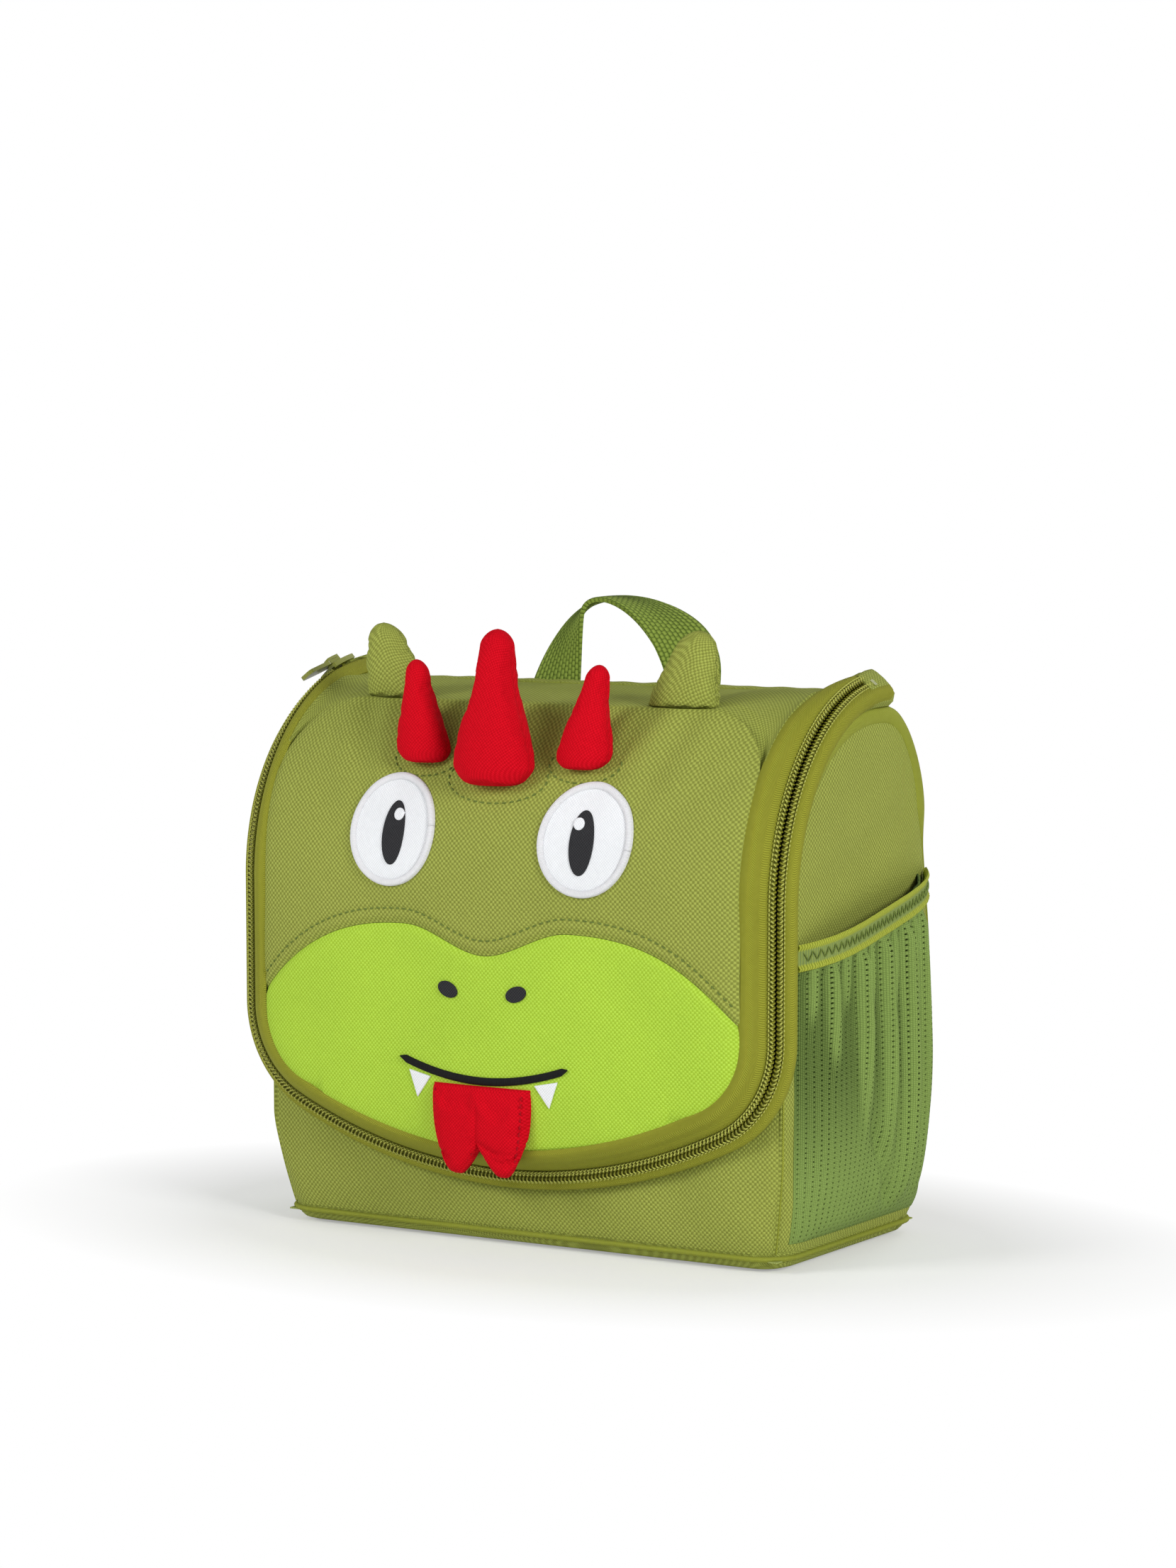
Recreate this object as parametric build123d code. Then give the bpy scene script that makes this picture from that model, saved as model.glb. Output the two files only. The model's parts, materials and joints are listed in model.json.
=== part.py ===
from build123d import *
import os
from math import atan2, cos, degrees, exp, pi, radians, sin, sqrt

# A child's dragon-face wash bag: a soft box body, a domed zip flap, side mesh pockets and a webbing loop.
# The origin is the centre of the base's underside, the face looks along -Y and +Z is up. Lengths are mm.

# ---- Driving dimensions ------------------------------------------------------------------------------------

# Body
body_width = 204.0
body_depth = 105.0
side_height = 184.5
front_top_share = 25 / 42
back_top_share = 8 / 21
base_height = 6.0
base_corner_radius = 7.0
welt_radius = 1.5
binding_width = 6.0
binding_thickness = 0.8

# Cloth layers, from outside in
fabric = 1.2
foam = 2.0
lining = 0.6
layer_gap = 0.08
foam_margin = 5.0
seam_gap = 0.1
tape_lap = 0.8
top_lap = 0.3
moving_gap = 0.4

# Zip: its centre line stands forward of the body's front edge
zip_stand = 8.5
zip_reach = 2.0
zip_low_point = 26.5
bow_radius = 190.0
corner_radius = 36.0
chain_tilt = 40.0
coil_width = 2.4
coil_height = 2.2
coil_gap = 1.0
tape_thickness = 0.7
zip_end_angle = 98.0
tape_end_angle = 90.5
tape_elbow = 2.0

# Flap
tape_reach = 9.5
flap_rise = 7.0
rise_at_hinge = 0.5
level_rise_angle = 150.0
flap_bulge = 5.5
hinge_rise = 3.5
seam_roll = 3.0
face_top = 184.5
face_lean = 0.70
seam_corner_width = 26.5
seam_corner_height = 26.0
muzzle_edge_height = 76.0
muzzle_peak_height = 111.0
muzzle_dip_height = 102.0
muzzle_peak_spacing = 64.0

# Face pieces
applique = 0.8
thin_applique = 0.4
eye_spacing = 76.0
eye_height = 142.0
eye_width = 31.0
eye_tall = 33.0
rim_width = 2.4
pupil_width = 9.0
pupil_tall = 21.0
glint_size = 4.0
nostril_spacing = 27.0
nostril_height = 90.0
nostril_width = 8.0
nostril_tall = 5.2
mouth_width = 66.0
mouth_height = 66.0
mouth_sag = 6.0
mouth_line = 2.6
tooth_inset = 8.0
tooth_width = 9.0
tooth_length = 9.0
tongue_width = 38.0
tongue_length = 30.0
tongue_thickness = 4.5
tongue_notch = 9.0
ear_base = 25.0
ear_tall = 25.0
ear_thickness = 9.0
ear_spacing = 112.0
ear_setback = 6.0
spike_base = 29.0
spike_depth = 15.0
spike_foot = 159.0
spike_tip = 209.0
side_spike_share = 0.66
side_spike_spacing = 62.0
spike_tip_share = 0.14

# Side pockets
pocket_bulge = 8.0
mesh_thickness = 0.9
pocket_floor = 9.5
pocket_front_height = 109.0
pocket_back_height = 127.0
band_height = 9.0
band_thickness = 0.7
pocket_clear = 1.0

# Carry loop
strap_width = 20.0
strap_thickness = 1.6
loop_half_span = 28.0
loop_height = 32.0
loop_skew = 10.0
loop_setback = 10.0

# Zip slider and pull
slider_length = 11.0
slider_width = 9.0
plate_thickness = 1.0
blade_thickness = 0.4
bail_height = 3.2
pull_length = 18.0
pull_width = 6.0
pull_thickness = 1.4
pull_arm = 1.2
pull_tilt = 5.0
bail_half = 1.2
bail_window = 3.6
bail_wall = 1.0

# ---- Worked-out places -------------------------------------------------------------------------------------

FAR = 400.0
half_width = body_width / 2
front_top_radius = body_depth * front_top_share
back_top_radius = body_depth * back_top_share
front_y = -body_depth / 2
back_y = body_depth / 2
front_arc_y = front_y + front_top_radius
front_arc_z = side_height - front_top_radius
back_arc_y = back_y - back_top_radius
back_arc_z = side_height - back_top_radius
wall = fabric + foam + lining + 2 * layer_gap
zip_x = half_width + zip_reach
zip_y = front_y - zip_stand
shoulder_radius = front_top_radius + zip_stand
face_half_width = zip_x - tape_reach
face_edge_y = zip_y - flap_rise
bow_z = zip_low_point + bow_radius
corner_x = zip_x - corner_radius
corner_z = bow_z - sqrt((bow_radius - corner_radius) ** 2 - corner_x**2)
corner_lean = degrees(atan2(bow_z - corner_z, corner_x))
hinge_y = back_arc_y - moving_gap
hinge_z = side_height + hinge_rise
arc_per_mm = degrees(1 / shoulder_radius)
slider_angle = zip_end_angle + 1.0
park_end_angle = slider_angle + (slider_length + 2 * moving_gap) * arc_per_mm
lean_angle = radians(180 - level_rise_angle)
lean_z = front_arc_z + (shoulder_radius + flap_rise) * sin(lean_angle)
bow_axis_y = face_edge_y - flap_bulge + (face_half_width**2 + flap_bulge**2) / (2 * flap_bulge)
tongue_clear = seam_gap + applique + moving_gap
tongue_top = mouth_height - mouth_sag - mouth_line / 2 - moving_gap
pocket_half_depth = body_depth / 2 - binding_width - pocket_clear
binding_clear = seam_gap
loop_foot_y = back_arc_y + seam_roll + moving_gap
loop_foot_z = side_height + strap_thickness
parts = {}


def mirrored(shape):
    """The same piece on the other side of the bag."""
    return mirror(shape, about=Plane.YZ)


def main_solid(shape):
    """The largest solid of a cut."""
    return max(shape.solids(), key=lambda s: s.volume)


def prism_x(sketch, low, high):
    """A sketch drawn with Y across and Z up, as a solid from x = low to x = high."""
    return extrude(Plane.YZ.offset(low) * sketch, amount=high - low)


def prism_y(sketch, front, back):
    """A sketch drawn with X across and Z up, as a solid from y = front to y = back."""
    flat = Plane(origin=(0, back, 0), x_dir=(1, 0, 0), z_dir=(0, -1, 0))
    return extrude(flat * sketch, amount=back - front)


def closed_sketch(*edges):
    """A filled sketch from edges that run end to end."""
    return Sketch() + make_face(Curve() + list(edges))


def faceted(points, triangles):
    """A closed solid from corner points and triangles of their indices."""
    corners = [Vector(*p) for p in points]
    skin = [Face(Wire.make_polygon([corners[k] for k in three], close=True)) for three in triangles]
    return Solid(Shell(skin))


def grid_normal(rows, i, j):
    """The normal of a grid of points at one of them."""
    last, end = len(rows) - 1, len(rows[0]) - 1
    down = Vector(*rows[min(i + 1, last)][j]) - Vector(*rows[max(i - 1, 0)][j])
    along = Vector(*rows[i][min(j + 1, end)]) - Vector(*rows[i][max(j - 1, 0)])
    return down.cross(along).normalized()


def moved_off(rows, distance, towards):
    """The same grid of points, moved off along its normals on the side that the direction names."""
    count, width = len(rows), len(rows[0])
    middle = grid_normal(rows, count // 2, width // 2)
    side = distance if middle.dot(Vector(*towards)) > 0 else -distance
    moved = []
    for i in range(count):
        moved.append([tuple(Vector(*rows[i][j]) + grid_normal(rows, i, j) * side) for j in range(width)])
    return moved


def cloth(rows, thickness, towards):
    """A sheet of soft cloth over a grid of points, thickened on the side that the direction names."""
    count, width = len(rows), len(rows[0])
    outer = [p for row in rows for p in row]
    inner = [p for row in moved_off(rows, thickness, towards) for p in row]
    shift = count * width
    triangles = []
    for i in range(count - 1):
        for j in range(width - 1):
            a, b, c, d = i * width + j, i * width + j + 1, (i + 1) * width + j, (i + 1) * width + j + 1
            triangles += [(a, b, d), (a, d, c)]
            triangles += [(a + shift, d + shift, b + shift), (a + shift, c + shift, d + shift)]
    rim = [j for j in range(width)] + [i * width + width - 1 for i in range(1, count)]
    rim += [(count - 1) * width + j for j in range(width - 2, -1, -1)]
    rim += [i * width for i in range(count - 2, 0, -1)]
    for a, b in zip(rim, rim[1:] + rim[:1]):
        triangles += [(a, a + shift, b + shift), (a, b + shift, b)]
    return faceted(outer + inner, triangles)


def stuffed(rings):
    """A stuffed shape through rings of points, closed flat at both ends."""
    count, width = len(rings), len(rings[0])
    points = [p for ring in rings for p in ring]
    triangles = []
    for i in range(count - 1):
        for j in range(width):
            a, b = i * width + j, i * width + (j + 1) % width
            c, d = a + width, b + width
            triangles += [(a, b, d), (a, d, c)]
    solid_ends = [[points[j] for j in range(width)], [points[(count - 1) * width + j] for j in range(width)]]
    skin = [Face(Wire.make_polygon([Vector(*points[k]) for k in three], close=True)) for three in triangles]
    skin += [Face(Wire.make_polygon([Vector(*p) for p in end], close=True)) for end in solid_ends]
    return Solid(Shell(skin))


def oval_ring(centre, wide, deep, sides=16):
    """A level ring of points round an oval."""
    x, y, z = centre
    turns = [2 * pi * k / sides for k in range(sides)]
    return [(x + wide / 2 * cos(a), y + deep / 2 * sin(a), z) for a in turns]


def steps(low, high, count):
    """Evenly spaced values from low to high."""
    return [low + (high - low) * i / (count - 1) for i in range(count)]


# ---- Body panels -------------------------------------------------------------------------------------------


def side_outline(inset=0.0, low=base_height + 2 * seam_gap):
    """The body seen from its side: upright walls, a wide front shoulder and a tighter back one."""
    front, back, top = front_y + inset, back_y - inset, side_height - inset
    return closed_sketch(
        Line((front, low), (back, low)),
        Line((back, low), (back, back_arc_z)),
        CenterArc((back_arc_y, back_arc_z), back_top_radius - inset, 0, 90),
        Line((back_arc_y, top), (front_arc_y, top)),
        CenterArc((front_arc_y, front_arc_z), front_top_radius - inset, 90, 90),
        Line((front, front_arc_z), (front, low)),
    )


def zip_outline(inset=0.0, top=FAR):
    """The zip seen from the front: a shallow bottom bow, two corners and upright sides."""
    half = zip_x - inset
    return closed_sketch(
        CenterArc((0, bow_z), bow_radius - inset, corner_lean - 180, 180 - 2 * corner_lean),
        CenterArc((corner_x, corner_z), corner_radius - inset, -corner_lean, corner_lean),
        Line((half, corner_z), (half, top)),
        Line((half, top), (-half, top)),
        Line((-half, top), (-half, corner_z)),
        CenterArc((-corner_x, corner_z), corner_radius - inset, 180, corner_lean),
    )


def side_panels():
    """The two flat sides: outer cloth, foam pad, lining and the binding round the open edges."""
    low = base_height + foam_margin
    pad_out = half_width - fabric - layer_gap
    skin_out = pad_out - foam - layer_gap
    pad_inset = foam_margin
    ring = side_outline() - side_outline(binding_width, -FAR)
    bind_in = half_width + seam_gap
    pieces = {
        "side_panel": prism_x(side_outline(), half_width - fabric, half_width),
        "side_foam": prism_x(side_outline(pad_inset, low), pad_out - foam, pad_out),
        "side_lining": prism_x(side_outline(pad_inset, low), skin_out - lining, skin_out),
        "edge_binding": prism_x(ring, bind_in, bind_in + binding_thickness),
    }
    for name, piece in pieces.items():
        parts[name + "_right"] = piece
        parts[name + "_left"] = mirrored(piece)


def back_panels():
    """The back wall, which runs up and over the back shoulder to the hinge seam."""
    half = half_width - fabric - layer_gap

    def sheet(outer, inner, low, half_span):
        ring = side_outline(outer, low) - side_outline(inner, low - FAR)
        kept = Pos(back_arc_y + FAR / 2, FAR / 2 + low) * Rectangle(FAR, FAR)
        return prism_x(ring & kept, -half_span, half_span)

    low = base_height + foam_margin
    pad_in = fabric + layer_gap
    skin_in = pad_in + foam + layer_gap
    inner_half = half - foam - lining - 3 * layer_gap
    parts["back_panel"] = sheet(0, fabric, base_height + 2 * seam_gap, half)
    parts["back_foam"] = sheet(pad_in, pad_in + foam, low, inner_half)
    parts["back_lining"] = sheet(skin_in, skin_in + lining, low, inner_half)


def front_panels():
    """The low front wall under the flap, cut out along the zip."""
    half = half_width - fabric - layer_gap
    inner_half = half - foam - lining - 3 * layer_gap

    def sheet(outer, thick, low, half_span, inset):
        height = FAR / 4
        wall_shape = Pos(0, low + height / 2) * Rectangle(2 * half_span, height)
        cut = wall_shape - zip_outline(inset)
        return main_solid(prism_y(cut, front_y + outer, front_y + outer + thick))

    low = base_height + foam_margin
    pad_in = fabric + layer_gap
    skin_in = pad_in + foam + layer_gap
    parts["front_panel"] = sheet(0, fabric, base_height + 2 * seam_gap, half, 3.0)
    parts["front_foam"] = sheet(pad_in, foam, low, inner_half, 2.0)
    parts["front_lining"] = sheet(skin_in, lining, low, inner_half, 2.0)


def base_panels():
    """The base: a shallow cloth tray, a stiffening board, its lining and the welt round the seam."""
    outer = extrude(RectangleRounded(body_width, body_depth, base_corner_radius), base_height)
    outer = chamfer(outer.faces().sort_by(Axis.Z)[0].edges(), base_height / 4)
    inner_width, inner_depth = body_width - 2 * fabric, body_depth - 2 * fabric
    hollow = extrude(RectangleRounded(inner_width, inner_depth, base_corner_radius - fabric), base_height)
    parts["base_panel"] = outer - Pos(0, 0, fabric) * hollow
    board_sketch = RectangleRounded(inner_width - 5, inner_depth - 5, base_corner_radius - 3)
    parts["base_board"] = Pos(0, 0, fabric) * extrude(board_sketch, foam)
    parts["base_lining"] = Pos(0, 0, fabric + foam) * extrude(board_sketch, lining)
    out = welt_radius + seam_gap
    route = RectangleRounded(body_width + 2 * out, body_depth + 2 * out, base_corner_radius + out).wire()
    route = route.moved(Location((0, 0, base_height - welt_radius)))
    start = Plane(origin=route @ 0, z_dir=route % 0)
    parts["base_welt"] = sweep(start * RegularPolygon(welt_radius, 8), path=route)


# ---- Zip ---------------------------------------------------------------------------------------------------


def zip_route(left_angle, right_angle):
    """The zip's centre line from the left shoulder, round the flap's foot, to the right shoulder."""
    front = Plane(origin=(0, zip_y, 0), x_dir=(1, 0, 0), z_dir=(0, -1, 0))
    sides = [Plane(origin=(x, 0, 0), x_dir=(0, 1, 0), z_dir=(1, 0, 0)) for x in (-zip_x, zip_x)]
    centre = (front_arc_y, front_arc_z)
    corner = CenterArc((corner_x, corner_z), corner_radius, -corner_lean, corner_lean)
    left_corner = CenterArc((-corner_x, corner_z), corner_radius, 180, corner_lean)
    bow = CenterArc((0, bow_z), bow_radius, corner_lean - 180, 180 - 2 * corner_lean)
    pieces = [
        sides[0] * CenterArc(centre, shoulder_radius, left_angle, 180 - left_angle),
        Line((-zip_x, zip_y, front_arc_z), (-zip_x, zip_y, corner_z)),
        front * left_corner,
        front * bow,
        front * corner,
        Line((zip_x, zip_y, corner_z), (zip_x, zip_y, front_arc_z)),
        sides[1] * CenterArc(centre, shoulder_radius, right_angle, 180 - right_angle),
    ]
    return Wire([edge for piece in pieces for edge in piece.edges()])


def swept_section(points, left_angle=zip_end_angle, right_angle=zip_end_angle):
    """A closed section in (out, forward) offsets from the zip's centre line, carried along the zip."""
    route = zip_route(left_angle, right_angle)
    angle = radians(left_angle)
    radial = Vector(0, cos(angle), sin(angle))
    start = Vector(-zip_x, front_arc_y, front_arc_z) + radial * shoulder_radius
    corners = [start + Vector(-1, 0, 0) * u + radial * v for u, v in points]
    section = Face(Wire.make_polygon(corners, close=True))
    return sweep(section, path=route, transition=Transition.ROUND)


def chain_point(across, proud):
    """An (out, forward) offset, given the place across the tilted chain and how far it stands proud."""
    tilt = radians(chain_tilt)
    return (across * cos(tilt) + proud * sin(tilt), -across * sin(tilt) + proud * cos(tilt))


def chain_box(low, high, under, over):
    """The corners of a box in the tilted chain's own frame."""
    return [chain_point(a, b) for a, b in ((low, under), (high, under), (high, over), (low, over))]


def zip_coils():
    """The two coil halves, one on the body and one on the flap, with the slider's blade gap between."""
    low, high = coil_gap / 2, coil_gap / 2 + coil_width
    half_height = coil_height / 2
    parts["zip_coil_body"] = swept_section(chain_box(low, high, -half_height, half_height))
    parts["zip_coil_flap"] = swept_section(
        chain_box(-high, -low, -half_height, half_height), left_angle=park_end_angle
    )


def body_tape():
    """The body's half of the zip tape: from its coil back to the body's edge."""
    edge = coil_gap / 2 + coil_width + seam_gap
    half = tape_thickness / 2
    over, under = chain_point(edge, half), chain_point(edge, -half)
    elbow_out = chain_point(edge + tape_elbow + 0.3, half)
    elbow_in = chain_point(edge + tape_elbow - 0.1, -half)
    foot, foot_out = seam_gap - zip_stand, 0.4 - zip_reach
    points = [over, elbow_out, (foot_out + half, foot), (foot_out - half, foot), elbow_in, under]
    parts["zip_tape_body"] = swept_section(points, tape_end_angle, tape_end_angle)


def rise_at(angle):
    """How far the flap's seam stands above the zip at an angle round the shoulder."""
    if angle >= level_rise_angle:
        return flap_rise
    t = (angle - 90) / (level_rise_angle - 90)
    return rise_at_hinge + (flap_rise - rise_at_hinge) * t * t * (3 - 2 * t)


def shoulder_point(angle, out, forward):
    """A point beside the right shoulder of the zip."""
    reach = shoulder_radius + forward
    turn = radians(angle)
    return (zip_x + out, front_arc_y + reach * cos(turn), front_arc_z + reach * sin(turn))


def right_half_stations(first_angle):
    """Places down the right half of the zip, each with its centre, outward and forward directions."""
    stations = []
    for angle in steps(first_angle, 180, 12):
        turn = radians(angle)
        stations.append((shoulder_point(angle, 0, 0), (1, 0, 0), (0, cos(turn), sin(turn)), rise_at(angle)))
    for z in steps(front_arc_z, corner_z, 4)[1:]:
        stations.append(((zip_x, zip_y, z), (1, 0, 0), (0, -1, 0), flap_rise))
    for angle in steps(0, -corner_lean, 8)[1:]:
        out = (cos(radians(angle)), 0, sin(radians(angle)))
        centre = (corner_x + corner_radius * out[0], zip_y, corner_z + corner_radius * out[2])
        rise = zip_y - face_y(centre[0] - tape_reach * out[0], 0)
        stations.append((centre, out, (0, -1, 0), rise))
    for angle in steps(-corner_lean, -90, 8)[1:]:
        out = (cos(radians(angle)), 0, sin(radians(angle)))
        centre = (bow_radius * out[0], zip_y, bow_z + bow_radius * out[2])
        rise = zip_y - face_y(centre[0] - tape_reach * out[0], 0)
        stations.append((centre, out, (0, -1, 0), rise))
    return stations


def flap_tape():
    """The flap's half of the zip tape: from its coil inward and up to the face's edge."""
    edge = coil_gap / 2 + coil_width + seam_gap
    near, elbow = chain_point(-edge - seam_gap, 0), chain_point(-edge - tape_elbow, 0)
    right = right_half_stations(tape_end_angle)
    # on the left the tape starts ahead of the parked slider
    left = []
    for c, o, forward, rise in right_half_stations(park_end_angle):
        left.append(((-c[0], c[1], c[2]), (-o[0], o[1], o[2]), forward, rise))
    rows = []
    for share in (None, 0, 1):
        row = []
        for centre, out, forward, rise in right + left[-2::-1]:
            u, v = near if share is None else elbow
            if share:
                u, v = tape_lap - tape_reach, rise
            row.append(tuple(centre[i] + out[i] * u + forward[i] * v for i in range(3)))
        rows.append(row)
    parts["zip_tape_flap"] = cloth(rows, tape_thickness, (0, 1, 0))


# ---- Flap --------------------------------------------------------------------------------------------------


def face_profile_y(z):
    """Where the face's middle stands at a height: upright, then rounding over and leaning back."""
    reach = shoulder_radius + flap_rise
    if z <= front_arc_z:
        y = face_edge_y
    elif z <= lean_z:
        y = front_arc_y - sqrt(reach**2 - (z - front_arc_z) ** 2)
    else:
        y = front_arc_y - reach * cos(lean_angle) + face_lean * (z - lean_z)
    return y - flap_bulge


def face_y(x, z):
    """Where the face's outer cloth stands: its profile, turned about an upright axis far behind."""
    return bow_axis_y - sqrt((bow_axis_y - face_profile_y(z)) ** 2 - x**2)


def face_block(ahead):
    """Everything behind the face's outer surface, or behind a surface set off from it."""
    low, high, deep, lean_turn = base_height, 1.2 * face_top, body_depth, -degrees(lean_angle)
    top_y = front_arc_y - (shoulder_radius + flap_rise) * cos(lean_angle)
    profile = closed_sketch(
        Line((deep, low), (face_edge_y - flap_bulge, low)),
        Line((face_edge_y - flap_bulge, low), (face_edge_y - flap_bulge, front_arc_z)),
        CenterArc((front_arc_y - flap_bulge, front_arc_z), shoulder_radius + flap_rise, 180, lean_turn),
        Line((top_y - flap_bulge, lean_z), (top_y - flap_bulge + face_lean * (high - lean_z), high)),
        Line((top_y - flap_bulge + face_lean * (high - lean_z), high), (deep, high)),
        Line((deep, high), (deep, low)),
    )
    section = Plane.YZ * profile
    axis = Axis((0, bow_axis_y, 0), (0, 0, 1))
    half_turn = 12
    whole = revolve(section, axis=axis, revolution_arc=2 * half_turn)
    turned = whole.rotate(axis, -half_turn)
    return turned.moved(Location((0, -ahead, 0)))


def on_face(sketch, low, high):
    """A patch that follows the face, between two distances in front of it."""
    return main_solid((prism_y(sketch, -FAR / 4, 0) & face_block(high)) - face_block(low))


def seated(shape, gap=seam_gap):
    """A solid piece cut so that its back rests on the face."""
    return main_solid(shape - face_block(gap))


def face_outline(inset=0.0):
    """The face: the zip's outline moved in by the tape, with rounded shoulders at the top seam."""
    half = face_half_width - inset
    top = face_top - inset
    wide, tall = seam_corner_width, seam_corner_height
    start = top - tall
    corner = [(half - wide + wide * cos(a), start + tall * sin(a)) for a in steps(0, pi / 2, 9)]
    right = Spline(*corner, tangents=[(0, 1), (-1, 0)])
    left = Spline(*[(-x, z) for x, z in reversed(corner)], tangents=[(-1, 0), (0, -1)])
    reach = tape_reach + inset
    return closed_sketch(
        CenterArc((0, bow_z), bow_radius - reach, corner_lean - 180, 180 - 2 * corner_lean),
        CenterArc((corner_x, corner_z), corner_radius - reach, -corner_lean, corner_lean),
        Line((half, corner_z), (half, start)),
        right,
        Line((half - wide, top), (-half + wide, top)),
        left,
        Line((-half, start), (-half, corner_z)),
        CenterArc((-corner_x, corner_z), corner_radius - reach, 180, corner_lean),
    )


def muzzle_outline(drop=0.0):
    """Everything below the muzzle seam: two rounded lobes with a dip between them."""
    peak, half = muzzle_peak_spacing / 2, face_half_width + 6
    points = [
        (-half, muzzle_edge_height - drop),
        (-peak, muzzle_peak_height - drop),
        (0, muzzle_dip_height - drop),
        (peak, muzzle_peak_height - drop),
        (half, muzzle_edge_height - drop),
    ]
    seam = Spline(*points, tangents=[(1, 1.3), (1, -1.3)])
    low = Polyline(points[-1], (half, 0), (-half, 0), points[0])
    return make_face(Curve() + [seam, low])


def face_panels():
    """The face: upper cloth and muzzle cloth joined at the seam, then foam and lining behind both."""
    outline = face_outline()
    parts["face_panel"] = on_face(outline - muzzle_outline(), -fabric, 0)
    parts["muzzle_panel"] = on_face(outline & muzzle_outline(seam_gap), -fabric, 0)
    pad = -fabric - layer_gap
    parts["face_foam"] = on_face(face_outline(4.0), pad - foam, pad)
    skin = pad - foam - layer_gap
    parts["face_lining"] = on_face(face_outline(4.0), skin - lining, skin)


def top_skin():
    """The flap's top: from the hinge seam forward to the face's top seam, folding down over each corner."""
    half, tuck = face_half_width - top_lap, fabric + top_lap
    wide = seam_corner_width
    straight = half - wide
    top = face_top
    last = (half, face_y(half, top - seam_corner_height) + tuck, top - seam_corner_height)
    across = [-straight - wide * k for k in steps(1, 0, 8)] + steps(-straight, straight, 5)[1:-1]
    across += [straight + wide * k for k in steps(0, 1, 8)]
    rows = []
    for i, t in enumerate(steps(0, 1, 9)):
        angle = 90 + (level_rise_angle + 3 - 90) * t
        edge = shoulder_point(angle, -tape_reach - top_lap, rise_at(angle))
        ease = min(1.0, i / 3)
        edge = (edge[0], hinge_y + (edge[1] - hinge_y) * ease, hinge_z + (edge[2] - hinge_z) * ease)
        row = []
        for x in across:
            turn = max(0.0, abs(x) - straight) / wide * pi / 2
            seam_x = (straight + wide * sin(turn)) if turn else abs(x)
            seam_z = top - seam_corner_height * (1 - cos(turn))
            seam = (seam_x, face_y(seam_x, seam_z) + tuck, seam_z)
            hinge, corner = (abs(x), hinge_y, hinge_z), (half, hinge_y, hinge_z)
            side = (abs(x) / half) ** 6 * min(1, (1 - t) * 6)
            point = []
            for k in range(3):
                plain = hinge[k] + (seam[k] - hinge[k]) * t
                chord = corner[k] + (last[k] - corner[k]) * t
                point.append(plain + side * (edge[k] - chord))
            row.append((point[0] if x >= 0 else -point[0], point[1], point[2]))
        rows.append(row)
    return rows


def top_panels():
    """The flap's top cloth with its lining, and the seam it hinges on with the body's back wall."""
    parts["flap_top_panel"] = cloth(top_skin(), fabric, (0, 0, -1))
    inner = moved_off(top_skin(), fabric + top_lap, (0, 0, -1))
    parts["flap_top_lining"] = cloth(inner, lining, (0, 0, -1))
    span = half_width - fabric - layer_gap
    y0, y1, z0, z1 = back_arc_y, back_arc_y + seam_roll, side_height + seam_gap, hinge_z
    roll = closed_sketch(*Rectangle(y1 - y0, z1 - z0).edges())
    parts["hinge_seam"] = prism_x(Pos((y0 + y1) / 2, (z0 + z1) / 2) * roll, -span, span)


# ---- Face pieces -------------------------------------------------------------------------------------------


def eyes():
    """Each eye: a white patch with a stitched rim, a slit pupil and a glint, stacked outward."""
    x, z = eye_spacing / 2, eye_height
    tilt = -8
    white = Pos(x, z) * Rot(0, 0, tilt) * Ellipse(eye_width / 2, eye_tall / 2)
    rim = Pos(x, z) * Rot(0, 0, tilt) * (
        Ellipse(eye_width / 2 + rim_width, eye_tall / 2 + rim_width)
        - Ellipse(eye_width / 2 + seam_gap, eye_tall / 2 + seam_gap)
    )
    pupil = Pos(x - 1, z - 1) * Ellipse(pupil_width / 2, pupil_tall / 2)
    glint = Pos(x - 2.6, z + 5) * Circle(glint_size / 2)
    second = seam_gap + applique + layer_gap
    third = second + thin_applique + layer_gap
    pieces = {
        "eye_rim": on_face(rim, seam_gap, seam_gap + applique + thin_applique),
        "eye_white": on_face(white, seam_gap, seam_gap + applique),
        "pupil": on_face(pupil, second, second + thin_applique),
        "eye_glint": on_face(glint, third, third + thin_applique),
    }
    for name, piece in pieces.items():
        parts[name + "_right"] = piece
        parts[name + "_left"] = mirrored(piece)


def mouth_z(x):
    """The mouth line's height: a wide shallow smile."""
    return mouth_height - mouth_sag * (1 - (2 * x / mouth_width) ** 2)


def muzzle_pieces():
    """Nostrils, the stitched mouth line and two small teeth below it."""
    oval = Ellipse(nostril_width / 2, nostril_tall / 2)
    nostril = Pos(nostril_spacing / 2, nostril_height) * Rot(0, 0, 20) * oval
    parts["nostril_right"] = on_face(nostril, seam_gap, seam_gap + thin_applique)
    parts["nostril_left"] = mirrored(parts["nostril_right"])
    half, line = mouth_width / 2, mouth_line
    upper = [(x, mouth_z(x) + line / 2) for x in steps(-half, half, 9)]
    lower = [(x, mouth_z(x) - line / 2) for x in steps(half, -half, 9)]
    band = closed_sketch(
        Spline(*upper), Line(upper[-1], lower[0]), Spline(*lower), Line(lower[-1], upper[0])
    )
    parts["mouth_line"] = on_face(band, seam_gap, seam_gap + applique)
    x = mouth_width / 2 - tooth_inset
    top = mouth_z(x + tooth_width / 2) - line / 2 - seam_gap
    tooth = make_face(Polyline(
        (x - tooth_width / 2, mouth_z(x - tooth_width / 2) - line / 2 - 2 * seam_gap),
        (x + tooth_width / 2, top), (x + 1, top - tooth_length),
        (x - tooth_width / 2, mouth_z(x - tooth_width / 2) - line / 2 - 2 * seam_gap),
    ))
    parts["tooth_right"] = on_face(tooth, seam_gap, seam_gap + thin_applique)
    parts["tooth_left"] = mirrored(parts["tooth_right"])


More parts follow.
